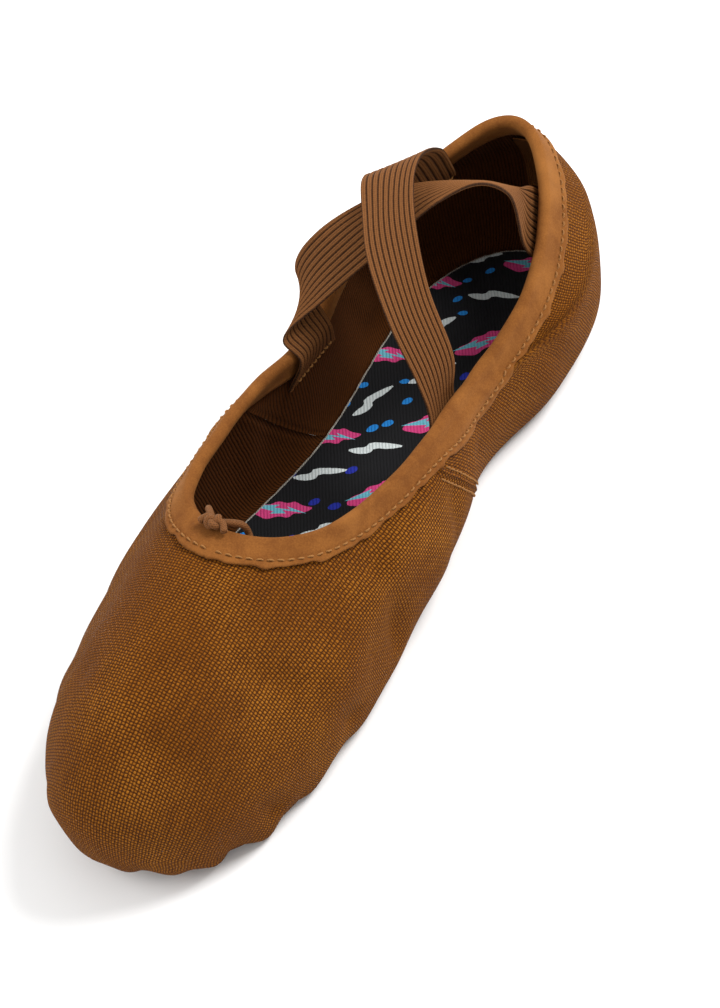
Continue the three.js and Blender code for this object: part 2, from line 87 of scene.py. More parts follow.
# stations from toe to heel: sole (x, share), widest line (x, share, z), ridge (x, share, z), swell, reach, lean
STATIONS = [
    ((0, -0.44), (0, -0.5, 22), (0, -0.175, THROAT_HIGH), (22, 38, -5)),
    ((25.9, -0.389), (26.7, -0.412, 16.5), (18.3, -0.133, THROAT_HIGH - 2.8), (19, 29, 13)),
    ((BALL - 5.5, -0.209), (BALL, -0.197, 17.5), (25.1, -0.036, THROAT_HIGH - 7.8), (17.5, 12, 43)),
    ((WAIST - 5.5, -0.016), (WAIST, 0.01, 22.5), (WAIST - 5.2, 0.064, WAIST_HIGH), (17.5, 6, 63)),
    ((WAIST - 9.5, 0.149), (WAIST - 4.5, 0.18, 23.5), (WAIST - 6.8, 0.171, WAIST_HIGH - 3.5), (14, 12, 69)),
    ((HEEL - 9, 0.359), (HEEL, 0.383, 21), (HEEL - 8.4, 0.328, HEEL_HIGH - 12), (14.7, 27.5, 55)),
    ((0, 0.4746), (0, 0.526, 26), (0, 0.4735, HEEL_HIGH), (12, 18, 60)),
]


# ---- the slipper's surface ----
def ring(points, mirrored=True):
    """A smooth closed curve through the stations and their mirror images, by degrees from the toe."""
    right = np.array(points, float)
    left = right[1:-1][::-1] * ([-1, 1, 1] if mirrored else [1, 1, 1])
    knots = np.vstack([right, left])
    slopes = np.zeros_like(knots)
    for _ in range(40):
        chord = np.roll(knots, -1, 0) - np.roll(knots, 1, 0)
        slopes = (3 * chord - np.roll(slopes, 1, 0) - np.roll(slopes, -1, 0)) / 4
    count = len(knots)

    def at(turn):
        place = (np.asarray(turn, float) / 360 % 1) * count
        first = np.floor(place).astype(int) % count
        last = (first + 1) % count
        t = (place - np.floor(place))[..., None]
        return ((2 * t**3 - 3 * t**2 + 1) * knots[first] + (t**3 - 2 * t**2 + t) * slopes[first]
                + (3 * t**2 - 2 * t**3) * knots[last] + (t**3 - t**2) * slopes[last])
    return at


def bezier(a, b, c, d, t):
    t = t[..., None]
    s = 1 - t
    return s**3 * a + 3 * s**2 * t * b + 3 * s * t**2 * c + t**3 * d


sole_line = ring([(s[0][0], s[0][1] * SLIPPER_LENGTH, SOLE_HIGH) for s in STATIONS])
wide_line = ring([(s[1][0], s[1][1] * SLIPPER_LENGTH, s[1][2]) for s in STATIONS])
top_line = ring([(s[2][0], s[2][1] * SLIPPER_LENGTH, s[2][2]) for s in STATIONS])
profile = ring([s[3] for s in STATIONS], mirrored=False)
CORNER_FLAT, CORNER_UPRIGHT = 0.7, 0.62


def with_height(points, height):
    flat = points.copy()
    flat[..., 2] = height
    return flat


# how the cloth sways from the pattern near the ridge: turn, reach in degrees, and the shift (x, y, z) in mm
SWAYS = [(226, 17, (-2.6, 0, 1.2)), (180, 20, (0, 0, 1.0))]


def skin(turn, climb):
    """The canvas's outside, by degrees from the toe and climb: 0 under the sole, 0.5 at the widest, 1 on top."""
    turn, climb = np.broadcast_arrays(np.asarray(turn, float), np.asarray(climb, float))
    sole, wide, top, form = sole_line(turn), wide_line(turn), top_line(turn), profile(turn)
    low_flat = with_height(sole + (wide - sole) * CORNER_FLAT, sole[..., 2])
    low_up = with_height(wide, wide[..., 2] + (sole[..., 2] - wide[..., 2]) * CORNER_UPRIGHT)
    low = bezier(sole, low_flat, low_up, wide, np.clip(climb * 2, 0, 1))
    lean = np.radians(form[..., 2])
    inward = (top - wide)[..., :2]
    inward = inward / np.linalg.norm(inward, axis=-1, keepdims=True)
    high_up = with_height(wide, wide[..., 2] + form[..., 0])
    high_flat = top.copy()
    high_flat[..., :2] -= inward * (np.cos(lean) * form[..., 1])[..., None]
    high_flat[..., 2] -= np.sin(lean) * form[..., 1]
    high = bezier(wide, high_up, high_flat, top, np.clip(climb * 2 - 1, 0, 1))
    wall_point = np.where((climb <= 0.5)[..., None], low, high)
    for middle, reach, shift in SWAYS:
        share = np.exp(-(((turn % 360) - middle) / reach)**2) * np.clip(climb, 0, 1)**2
        wall_point = wall_point + share[..., None] * np.array(shift, float)
    return wall_point


def unit(v):
    return v / np.maximum(np.linalg.norm(v, axis=-1, keepdims=True), 1e-12)


def facing(turn, climb):
    around = skin(turn + 0.5, climb) - skin(turn - 0.5, climb)
    up = skin(turn, np.minimum(climb + 0.004, 1)) - skin(turn, np.maximum(climb - 0.004, 0))
    return unit(np.cross(around, up))


# how high up the wall a point lies that is so far down from the ridge, as a table over the turns and the depths
TABLE_TURN, TABLE_DOWN = 1.0, 0.5
table_turns = np.arange(0, 360, TABLE_TURN)
table_downs = np.arange(0, 140, TABLE_DOWN)
wall_climbs = np.linspace(1, 0, 161)
wall = skin(table_turns[:, None], wall_climbs[None, :])
wall_runs = np.concatenate([np.zeros((len(table_turns), 1)),
                            np.cumsum(np.linalg.norm(np.diff(wall, axis=1), axis=-1), axis=1)], axis=1)
climb_table = np.array([np.interp(table_downs, run, wall_climbs) for run in wall_runs])


def between(table, turn, down):
    turn, down = np.broadcast_arrays(np.asarray(turn, float), np.asarray(down, float))
    i = (turn % 360) / TABLE_TURN
    j = np.clip(down / TABLE_DOWN, 0, len(table_downs) - 1.001)
    i0, j0 = np.floor(i).astype(int) % len(table_turns), np.floor(j).astype(int)
    i1, u, v = (i0 + 1) % len(table_turns), i - np.floor(i), j - j0
    return ((1 - u) * ((1 - v) * table[i0, j0] + v * table[i0, j0 + 1])
            + u * ((1 - v) * table[i1, j0] + v * table[i1, j0 + 1]))


def climb_below(turn, down):
    return between(climb_table, turn, down)


def down_at(turn, climb):
    """Distance from the ridge down to a climb, along the wall."""
    turn, climb = np.broadcast_arrays(np.asarray(turn, float), np.asarray(climb, float))
    i = np.round((turn % 360) / TABLE_TURN).astype(int) % len(table_turns)
    step = (1 - climb) * (len(wall_climbs) - 1)
    k = np.clip(np.floor(step).astype(int), 0, len(wall_climbs) - 2)
    return wall_runs[i, k] + (step - k) * (wall_runs[i, k + 1] - wall_runs[i, k])


# ---- how the cloth hangs: soft dents, gathers under the toe and heel, the raised side seams ----
SEAM_START = float(climb_below(SEAM_TOP, BINDING_DEPTH + 1))


def seam_turn(climb):
    fall = np.clip((SEAM_START - climb) / SEAM_START, 0, 1)
    return SEAM_TOP + (SEAM_BOTTOM - SEAM_TOP) * fall


def signed(turn):
    return (np.asarray(turn, float) + 180) % 360 - 180


# gathers: turn, depth in mm, width in degrees, how far up the wall they run
TOE_PLEATS = [(-66, 1.6, 3.2, 0.28), (-54, 3.0, 2.8, 0.9), (-43, 2.6, 2.7, 0.42), (-36, 3.2, 2.4, 0.85),
              (-23, 3.0, 2.5, 0.7), (-11, 1.6, 2.2, 0.28), (-1, 2.2, 2.4, 0.34), (9, 3.2, 2.6, 0.42),
              (19, 1.9, 2.3, 0.3), (28, 3.4, 2.9, 0.46), (40, 2.2, 2.6, 0.34), (52, 2.4, 3.1, 0.36),
              (64, 1.4, 3.2, 0.26),
              (161, 0.9, 2.4, 0.24), (171, 1.1, 2.1, 0.30), (181, 0.9, 2.1, 0.26), (190, 1.1, 2.2, 0.28),
              (200, 0.8, 2.5, 0.22)]
# broad dents: place (x, y, z) in mm, reach in mm, depth in mm, inward positive
DENTS = [((31, -74, 34), 14, 1.5), ((36, -36, 20), 13, 2.4), ((34, -6, 18), 13, -2.6), ((-30, -66, 33), 18, 0.9),
         ((14, -90, 43), 16, -0.9), ((22, -100, 30), 9, 1.1), ((-8, -62, 52), 16, 0.6), ((34, 17, 18), 17, -5.0),
         ((30, 62, 22), 20, -2.2), ((-29, 20, 26), 13, 0.9), ((31, 94, 32), 12, 0.6), ((-31, 92, 28), 16, 0.8),
         ((-27, 54, 24), 12, -0.6), ((10, -112, 25), 12, 0.6), ((-22, -104, 28), 11, 0.8)]
# creases: two ends (x, y, z) in mm, width and depth in mm
CREASES = [((31, -86, 10), (12, -98, 40), 3.6, 1.5), ((36, -56, 12), (22, -70, 44), 4.2, 1.6),
           ((-35, -66, 12), (-18, -86, 42), 4.6, 1.2), ((38, -30, 12), (30, -26, 36), 4.0, 1.8),
           ((-12, -114, 14), (-4, -88, 46), 4.2, 0.9), ((34, 2, 12), (30, 6, 26), 3.6, 1.0),
           ((33, 32, 8), (29, 30, 20), 4.0, 0.9), ((30, 72, 12), (28, 62, 30), 4.0, 1.0),
           ((-33, 4, 12), (-29, 8, 32), 4.0, 1.2), ((-30, 70, 12), (-28, 60, 34), 4.0, 1.2)]
RIPPLES = [((0.11, 0.07, -0.05), 0.22, 0.4), ((-0.06, 0.13, 0.09), 0.2, 2.1), ((0.19, -0.10, 0.15), 0.13, 4.0),
           ((0.24, 0.21, -0.12), 0.1, 1.2), ((-0.33, 0.17, 0.22), 0.07, 5.1)]


def drape(turn, climb):
    turn, climb = np.broadcast_arrays(np.asarray(turn, float), np.asarray(climb, float))
    place = skin(turn, climb)
    out = np.zeros(turn.shape)
    for wave, height, phase in RIPPLES:
        out += height * np.sin(place @ np.array(wave) + phase)
    for centre, reach, depth in DENTS:
        out -= depth * np.exp(-((place - np.array(centre))**2).sum(-1) / reach**2)
    for first, last, width, depth in CREASES:
        first, last = np.array(first, float), np.array(last, float)
        way = last - first
        share = np.clip(((place - first) @ way) / (way @ way), 0, 1)
        aside = ((place - first - share[..., None] * way)**2).sum(-1)
        out -= depth * np.exp(-aside / width**2)
    near_ridge = np.clip((1 - climb) / 0.3, 0, 1)
    out *= near_ridge**2 * (3 - 2 * near_ridge)
    for middle, depth, width, rise in TOE_PLEATS:
        aside = signed(turn - middle - 5 * climb)
        fade = np.clip(1 - climb / rise, 0, 1)**1.4
        out -= 0.85 * depth * fade * np.exp(-(aside / width)**2)
        out += 0.3 * depth * fade * np.exp(-((np.abs(aside) - 1.9 * width) / width)**2)
    out *= np.clip(climb / 0.02, 0, 1)
    # the side seams stand up between their two rows of stitches, which pull the cloth down
    across = (np.abs(signed(turn)) - seam_turn(climb)) * MILLIMETRES_PER_DEGREE
    seam_fade = np.clip((SEAM_START + 0.05 - climb) / 0.05, 0, 1) * np.clip(climb / 0.05, 0, 1)
    out += seam_fade * 0.5 * np.exp(-(across / 1.15)**2)
    out -= seam_fade * 0.3 * np.exp(-((np.abs(across) - SEAM_ROWS / 2) / 0.6)**2)
    return out


MILLIMETRES_PER_DEGREE = float(np.linalg.norm(skin(SEAM_TOP + 5.5, 0.5) - skin(SEAM_TOP + 4.5, 0.5)))


def off(turn, climb, out):
    """A point off the canvas's outside as it hangs, out positive away from the foot."""
    turn, climb, out = np.broadcast_arrays(*(np.asarray(v, float) for v in (turn, climb, out)))
    return skin(turn, climb) + facing(turn, climb) * (out + drape(turn, climb))[..., None]


def below(turn, down, out):
    return off(turn, climb_below(turn, down), out)


def under(turn, inset, raised):
    """A point on the flat margin turned under the foot."""
    turn, inset, raised = np.broadcast_arrays(*(np.asarray(v, float) for v in (turn, inset, raised)))
    here = skin(turn, np.zeros(turn.shape))
    tangent = skin(turn + 1, np.zeros(turn.shape)) - skin(turn - 1, np.zeros(turn.shape))
    inward = unit(np.stack([-tangent[..., 1], tangent[..., 0], np.zeros(turn.shape)], -1))
    return with_height(here + inward * inset[..., None], SOLE_HIGH) + np.stack(
        [np.zeros(turn.shape), np.zeros(turn.shape), raised], -1)


def flat_pattern(turns, climbs):
    """Where a panel's points lie on the cloth when it is flat, in mm, so that the weave has one scale all over.
    The rows run from the ridge down; each step down the wall is laid out flat, away from the foot."""
    plan = skin(turns, climbs)
    normal = facing(turns, climbs)
    outward = unit((wide_line(turns) - top_line(turns))[..., :2])
    away = unit(normal[..., :2] + 0.12 * outward)
    steps = np.diff(plan, axis=0)
    middle = unit(away[1:] + away[:-1])
    forward = np.sum(steps[..., :2] * middle, -1)
    laid = np.sqrt(forward**2 + steps[..., 2]**2)
    flat_steps = steps[..., :2] + middle * (laid - forward)[..., None]
    start = plan[:1, :, :2]
    laid_flat = np.concatenate([start, start + np.cumsum(flat_steps, axis=0)], axis=0)
    # then eased like cloth on a table until the threads between neighbouring points have their real lengths
    springs = ((0, 1), (1, 0), (1, 1), (1, -1), (0, 6), (6, 0))
    for _ in range(160):
        moved, share = np.zeros_like(laid_flat), np.zeros(laid_flat.shape[:2] + (1,))
        for down, across in springs:
            first = (slice(0, -down or None), slice(max(0, -across), -across if across > 0 else None))
            last = (slice(down, None), slice(max(0, across), across if across < 0 else None))
            reach = laid_flat[last] - laid_flat[first]
            length = np.linalg.norm(reach, axis=-1, keepdims=True)
            real = np.linalg.norm(plan[last] - plan[first], axis=-1, keepdims=True)
            pull = reach * (0.5 * (1 - real / np.maximum(length, 1e-6)))
            moved[first] += pull
            moved[last] -= pull
            share[first] += 1
            share[last] += 1
        laid_flat = laid_flat + 1.4 * moved / share
    return laid_flat


def around_and_down(turns, climbs):
    """Distances round the wall and down it, in mm, for cloth whose ribs run up the wall."""
    halfway = skin(turns, np.full(turns.shape, 0.72))
    around = np.cumsum(np.linalg.norm(np.diff(halfway, axis=1, prepend=halfway[:, :1]), axis=-1), axis=1)
    return np.stack([around, down_at(turns, climbs)], -1)


# the CAD's origin lies under the middle of its own length, and the surface is set the same way
vamp_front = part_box("vamp_outer")[0].y / MM
ORIGIN_SHIFT = vamp_front - float(skin(0, 0.5)[1])


def placed(points):
    points = np.asarray(points, float)
    return (points + np.array([0, ORIGIN_SHIFT, 0])) * MM


# ---- mesh makers ----
def mesh_object(name, points, faces, uv=None, smooth=True, material=None):
    mesh = bpy.data.meshes.new(name)
    mesh.from_pydata(placed(points).tolist(), [], [tuple(int(i) for i in f) for f in faces])
    if uv is not None:
        layer = mesh.uv_layers.new(name="cloth_mm")
        corners = np.zeros(len(mesh.loops), np.int64)
        mesh.loops.foreach_get("vertex_index", corners)
        layer.data.foreach_set("uv", np.asarray(uv, np.float32)[corners].ravel())
    if smooth:
        mesh.polygons.foreach_set("use_smooth", [True] * len(mesh.polygons))
    mesh.validate()
    mesh.update()
    made = bpy.data.objects.new(name, mesh)
    bpy.context.collection.objects.link(made)
    if material:
        mesh.materials.append(material)
    return made


def grid_faces(rows, columns, start=0, wrap_rows=False, wrap_columns=False, flip=False):
    i, j = np.meshgrid(np.arange(rows if wrap_rows else rows - 1),
                       np.arange(columns if wrap_columns else columns - 1), indexing="ij")
    i1, j1 = (i + 1) % rows, (j + 1) % columns
    quads = np.stack([i * columns + j, i1 * columns + j, i1 * columns + j1, i * columns + j1], -1).reshape(-1, 4)
    return (quads[:, ::-1] if flip else quads) + start


def outward_faces(points, faces):
    """The same faces, turned so that a closed body's normals point out."""
    points = np.asarray(points, float)
    volume = 0.0
    for face in faces:
        corner = points[face[0]]
        for k in range(1, len(face) - 1):
            volume += float(np.dot(corner, np.cross(points[face[k]], points[face[k + 1]])))
    return faces if volume > 0 else [tuple(reversed(tuple(f))) for f in faces]


def shell(name, outer, inner, uv, material):
    """A cloth panel: its outer and inner faces as grids of the same size, closed round the edge."""
    rows, columns = outer.shape[:2]
    count = rows * columns
    faces = [*grid_faces(rows, columns), *grid_faces(rows, columns, count, flip=True)]
    edge = ([(0, j) for j in range(columns)] + [(i, columns - 1) for i in range(1, rows)]
            + [(rows - 1, j) for j in range(columns - 2, -1, -1)] + [(i, 0) for i in range(rows - 2, 0, -1)])
    loop = [i * columns + j for i, j in edge]
    for a, b in zip(loop, loop[1:] + loop[:1]):
        faces.append((b, a, a + count, b + count))
    points = np.vstack([outer.reshape(-1, 3), inner.reshape(-1, 3)])
    faces = outward_faces(points, [tuple(f) for f in faces])
    return mesh_object(name, points, faces, np.vstack([uv.reshape(-1, 2)] * 2), material=material)


def sweep(name, sections, uv, material, closed=False):
    """A body whose sections are closed loops of points in a row."""
    sections = np.asarray(sections, float)
    rows, size = sections.shape[:2]
    faces = [tuple(f) for f in grid_faces(rows, size, wrap_rows=closed, wrap_columns=True)]
    if not closed:
        faces += [tuple(range(size)), tuple(range(rows * size - 1, (rows - 1) * size - 1, -1))]
    points = sections.reshape(-1, 3)
    uv = np.asarray(uv).reshape(-1, 2)
    return mesh_object(name, points, outward_faces(points, faces), uv, material=material)


def frames_along(path, closed=False):
    """Unit tangents and two steady side directions along a path."""
    path = np.asarray(path, float)
    if closed:
        tangent = unit(np.roll(path, -1, 0) - np.roll(path, 1, 0))
    else:
        tangent = unit(np.gradient(path, axis=0))
    side = np.zeros_like(path)
    first = np.cross(tangent[0], [0, 0, 1.0])
    if np.linalg.norm(first) < 0.1:
        first = np.cross(tangent[0], [1.0, 0, 0])
    side[0] = unit(first)
    for i in range(1, len(path)):
        carried = side[i - 1] - tangent[i] * np.dot(side[i - 1], tangent[i])
        side[i] = unit(carried)
    return tangent, side, np.cross(tangent, side)


def round_tube(path, radius, sides=12, closed=False, taper=None):
    """Points, faces and UVs of a tube; taper gives the radius along it as shares."""
    path = np.asarray(path, float)
    tangent, side, rise = frames_along(path, closed)
    share = np.ones(len(path)) if taper is None else np.asarray(taper, float)
    angles = np.arange(sides) / sides * 2 * math.pi
    loop = (np.cos(angles)[None, :, None] * side[:, None, :] + np.sin(angles)[None, :, None] * rise[:, None, :])
    points = path[:, None, :] + loop * (radius * share)[:, None, None]
    rows = len(path)
    faces = [tuple(f) for f in grid_faces(rows, sides, wrap_rows=closed, wrap_columns=True, flip=True)]
    if not closed:
        faces += [tuple(range(sides))[::-1], tuple(range((rows - 1) * sides, rows * sides))]
    run = np.concatenate([[0], np.cumsum(np.linalg.norm(np.diff(path, axis=0), axis=1))])
    uv = np.stack(np.broadcast_arrays((angles * radius)[None, :], run[:, None]), -1)
    return points.reshape(-1, 3), faces, uv.reshape(-1, 2)


def joined(name, parts, material):
    points, faces, uvs, start = [], [], [], 0
    for part_points, part_faces, part_uv in parts:
        points.append(part_points)
        faces += [tuple(i + start for i in f) for f in part_faces]
        uvs.append(part_uv)
        start += len(part_points)
    return mesh_object(name, np.vstack(points), faces, np.vstack(uvs), material=material)


def stitch_row(name, path, normals, length, space, radius, material, sink=0.35, waver=0.12):
    """A row of lock stitches: each a short thread that dips into the cloth at both ends."""
    path, normals = np.asarray(path, float), np.asarray(normals, float)
    run = np.concatenate([[0], np.cumsum(np.linalg.norm(np.diff(path, axis=0), axis=1))])
    pitch = length + space
    count = int(run[-1] // pitch)
    shares = np.array([0, 0.12, 0.3, 0.5, 0.7, 0.88, 1])
    lift = np.array([-1.0, -0.2, 0.75, 1.0, 0.75, -0.2, -1.0])
    thin = np.array([0.55, 0.85, 1, 1, 1, 0.85, 0.55])
    draw = random.Random(len(name) * 7 + count)
    parts = []
    for k in range(count):
        start = (run[-1] - count * pitch) / 2 + k * pitch + space / 2
        places = start + shares * length
        line = np.stack([np.interp(places, run, path[:, c]) for c in range(3)], -1)
        out = unit(np.stack([np.interp(places, run, normals[:, c]) for c in range(3)], -1))
        across = unit(np.cross(line[-1] - line[0], out[3]))
        skew = (draw.random() - 0.5) * 2 * waver
        line = line + out * (lift * sink)[:, None] + across * (skew * (shares - 0.5) * 2)[:, None]
        parts.append(round_tube(line, radius, sides=6, taper=thin))
    return joined(name, parts, material)


# ---- materials ----
def linear(hex_colour):
    """An sRGB hex colour as linear light."""
    value = hex_colour.lstrip("#")
    shares = [int(value[i:i + 2], 16) / 255 for i in (0, 2, 4)]
    return tuple(c / 12.92 if c <= 0.04045 else ((c + 0.055) / 1.055)**2.4 for c in shares) + (1.0,)


def add_node(tree, kind, inputs=(), **settings):
    """One node with its settings; each input is a value or another node's output."""
    made = tree.nodes.new(kind)
    for key, value in settings.items():
        setattr(made, key, value)
    for key, value in dict(inputs).items():
        if isinstance(value, bpy.types.NodeSocket):
            tree.links.new(value, made.inputs[key])
        else:
            made.inputs[key].default_value = value
    return made


def new_material(name, roughness, sheen=0.0, sheen_tint="#ffffff"):
    """An empty material with its shader: plain values on the sockets themselves."""
    made = bpy.data.materials.new(name)
    made.use_nodes = True
    tree = made.node_tree
    tree.nodes.clear()
    shader = add_node(tree, "ShaderNodeBsdfPrincipled", {
        "Roughness": roughness, "Sheen Weight": sheen, "Sheen Roughness": 0.45, "Sheen Tint": linear(sheen_tint),
        "Specular IOR Level": 0.15})
    output = add_node(tree, "ShaderNodeOutputMaterial", {"Surface": shader.outputs["BSDF"]})
    output.location = (400, 0)
    return made, tree, shader


def math_node(tree, operation, a, b=None, c=None, clamp=False):
    inputs = {0: a}
    if b is not None:
        inputs[1] = b
    if c is not None:
        inputs[2] = c
    return add_node(tree, "ShaderNodeMath", inputs, operation=operation, use_clamp=clamp).outputs[0]


def half_waves(tree, place, pitch):
    """0 to 1 and back over each pitch: a rib, yarn or ply, high in its middle."""
    wave = math_node(tree, "SINE", math_node(tree, "MULTIPLY", place, math.pi / pitch))
    return math_node(tree, "ABSOLUTE", wave)


def colour_mix(tree, share, dark, light):
    mixed = add_node(tree, "ShaderNodeMix", {"Factor": share}, data_type="RGBA")
    for key, value in (("A", dark), ("B", light)):
        socket = next(s for s in mixed.inputs if s.name == key and s.type == "RGBA")
        if isinstance(value, bpy.types.NodeSocket):
            tree.links.new(value, socket)
        else:
            socket.default_value = linear(value)
    return next(s for s in mixed.outputs if s.type == "RGBA")


def cloth_place(tree, wobble, wobble_scale):
    """The cloth's flat coordinates in mm, with the slight wander of real threads, as (u, v, vector)."""
    flat = add_node(tree, "ShaderNodeUVMap", uv_map="cloth_mm").outputs["UV"]
    wander = add_node(tree, "ShaderNodeTexNoise", {"Vector": flat, "Scale": wobble_scale, "Detail": 2.0})
    shift = add_node(tree, "ShaderNodeVectorMath", {0: wander.outputs["Color"], 1: (0.5, 0.5, 0.5)},
                     operation="SUBTRACT").outputs[0]
    shift = add_node(tree, "ShaderNodeVectorMath", {0: shift, "Scale": wobble}, operation="SCALE").outputs[0]
    moved = add_node(tree, "ShaderNodeVectorMath", {0: flat, 1: shift}, operation="ADD").outputs[0]
    parts = add_node(tree, "ShaderNodeSeparateXYZ", {0: moved})
    return parts.outputs["X"], parts.outputs["Y"], flat


def plain_weave(name, dark, middle, light, warp_pitch, weft_pitch, relief):
    """Cotton canvas, plain woven and piece dyed: matt yarns that read as small raised nubs, with painted shade in the
    gaps between them.
    """
    made, tree, shader = new_material(name, 0.95, sheen=0.06, sheen_tint="#a8681e")
    u, v, flat = cloth_place(tree, 0.75, 0.35)
    wave_u = math_node(tree, "SINE", math_node(tree, "MULTIPLY", u, math.pi / warp_pitch))
    wave_v = math_node(tree, "SINE", math_node(tree, "MULTIPLY", v, math.pi / weft_pitch))
    across_u = math_node(tree, "ABSOLUTE", wave_u)
    across_v = math_node(tree, "ABSOLUTE", wave_v)
    which = math_node(tree, "MULTIPLY", wave_u, wave_v)
    over = add_node(tree, "ShaderNodeMapRange", {"Value": which, "From Min": -0.12, "From Max": 0.12}).outputs[0]
    warp_up = math_node(tree, "MULTIPLY", math_node(tree, "POWER", across_u, 0.75),
                        math_node(tree, "POWER", across_v, 0.4))
    weft_up = math_node(tree, "MULTIPLY", math_node(tree, "POWER", across_v, 0.75),
                        math_node(tree, "POWER", across_u, 0.4))
    weft_up = math_node(tree, "MULTIPLY", weft_up, 0.72)
    lift = math_node(tree, "SUBTRACT", warp_up, weft_up)
    height = math_node(tree, "MULTIPLY_ADD", over, lift, weft_up)
    # slubs: yarns are thicker and paler in places, and the dye is a little cloudy
    stretch = add_node(tree, "ShaderNodeMapping", {"Vector": flat, "Scale": (0.9, 0.12, 1)}).outputs[0]
    slub = add_node(tree, "ShaderNodeTexNoise", {"Vector": stretch, "Scale": 1.0, "Detail": 3.0}).outputs["Fac"]
    cloud = add_node(tree, "ShaderNodeTexNoise", {"Vector": flat, "Scale": 0.035, "Detail": 3.0}).outputs["Fac"]
    fuzz = add_node(tree, "ShaderNodeTexNoise", {"Vector": flat, "Scale": 2.2, "Detail": 4.0}).outputs["Fac"]
    # painted shade: the colour follows the weave's height, lighter on the yarns' crowns and darker in the gaps between
    # them; slubs and fuzz are added on top
    tone = add_node(tree, "ShaderNodeMapRange", {"Value": height, "From Min": 0.1, "From Max": 0.85}).outputs[0]
    tone = math_node(tree, "ADD", tone, math_node(tree, "MULTIPLY_ADD", slub, 0.5, -0.25))
    tone = math_node(tree, "ADD", tone, math_node(tree, "MULTIPLY_ADD", fuzz, 0.5, -0.25), clamp=True)
    base = colour_mix(tree, tone, dark, middle)
    # the palest colour goes where the crowns' painted light meets a pale cloud of dye
    pale = add_node(tree, "ShaderNodeMapRange", {"Value": math_node(tree, "MULTIPLY", tone, cloud),
                                                 "From Min": 0.3, "From Max": 0.72}).outputs[0]
    colour = colour_mix(tree, pale, base, light)
    tree.links.new(colour, shader.inputs["Base Color"])
    raised = math_node(tree, "MULTIPLY_ADD", fuzz, 0.25, height)
    bump = add_node(tree, "ShaderNodeBump", {"Height": raised, "Strength": 1.0, "Distance": relief * MM})
    tree.links.new(bump.outputs[0], shader.inputs["Normal"])
    return made


def ribbed_jersey(name, dark, light, pitch, angle, relief, roughness=0.95):
    """Fine-rib cotton jersey, knitted and dyed: close parallel wales with soft shade between them."""
    made, tree, shader = new_material(name, roughness, sheen=0.06, sheen_tint="#7a4a1c")
    u, v, flat = cloth_place(tree, 0.5, 0.3)
    along = math_node(tree, "ADD", math_node(tree, "MULTIPLY", u, math.sin(angle)),
                      math_node(tree, "MULTIPLY", v, math.cos(angle)))
    wale = half_waves(tree, along, pitch)
    wale = math_node(tree, "POWER", wale, 0.7)
    cross = math_node(tree, "ADD", math_node(tree, "MULTIPLY", u, math.cos(angle)),
                      math_node(tree, "MULTIPLY", v, -math.sin(angle)))
    loops = half_waves(tree, cross, 0.55)
    height = math_node(tree, "MULTIPLY_ADD", loops, 0.05, wale)
    fuzz = add_node(tree, "ShaderNodeTexNoise", {"Vector": flat, "Scale": 1.4, "Detail": 4.0}).outputs["Fac"]
    tone = math_node(tree, "ADD", math_node(tree, "MULTIPLY", height, 0.62),
                     math_node(tree, "MULTIPLY_ADD", fuzz, 0.7, -0.3), clamp=True)
    tree.links.new(colour_mix(tree, tone, dark, light), shader.inputs["Base Color"])
    bump = add_node(tree, "ShaderNodeBump", {"Height": height, "Strength": 0.9, "Distance": relief * MM})
    tree.links.new(bump.outputs[0], shader.inputs["Normal"])
    return made


def microfibre_suede(name, dark, light, worn, nap):
    """Brushed microfibre suede: an even short nap that lightens where it is rubbed and shows a soft sheen."""
    made, tree, shader = new_material(name, 0.9, sheen=0.18, sheen_tint="#c98f52")
    place = add_node(tree, "ShaderNodeTexCoord").outputs["Object"]
    fine = add_node(tree, "ShaderNodeTexNoise", {"Vector": place, "Scale": 1000 / nap, "Detail": 6.0,
                                                 "Roughness": 0.7}).outputs["Fac"]
    stroke = add_node(tree, "ShaderNodeTexNoise", {"Vector": place, "Scale": 160.0, "Detail": 3.0,
                                                   "Distortion": 0.6}).outputs["Fac"]
    tone = math_node(tree, "ADD", math_node(tree, "MULTIPLY_ADD", fine, 1.5, -0.5),
                     math_node(tree, "MULTIPLY_ADD", stroke, 1.1, -0.55), clamp=True)
    base = colour_mix(tree, tone, dark, light)
    rubbed = add_node(tree, "ShaderNodeTexNoise", {"Vector": place, "Scale": 45.0, "Detail": 2.0}).outputs["Fac"]
    rubbed = add_node(tree, "ShaderNodeMapRange", {"Value": rubbed, "From Min": 0.5, "From Max": 0.75,
                                                   "To Max": 0.5}).outputs[0]
    tree.links.new(colour_mix(tree, rubbed, base, worn), shader.inputs["Base Color"])
    bump = add_node(tree, "ShaderNodeBump", {"Height": fine, "Strength": 0.6, "Distance": 0.12 * MM})
    tree.links.new(bump.outputs[0], shader.inputs["Normal"])
    return made


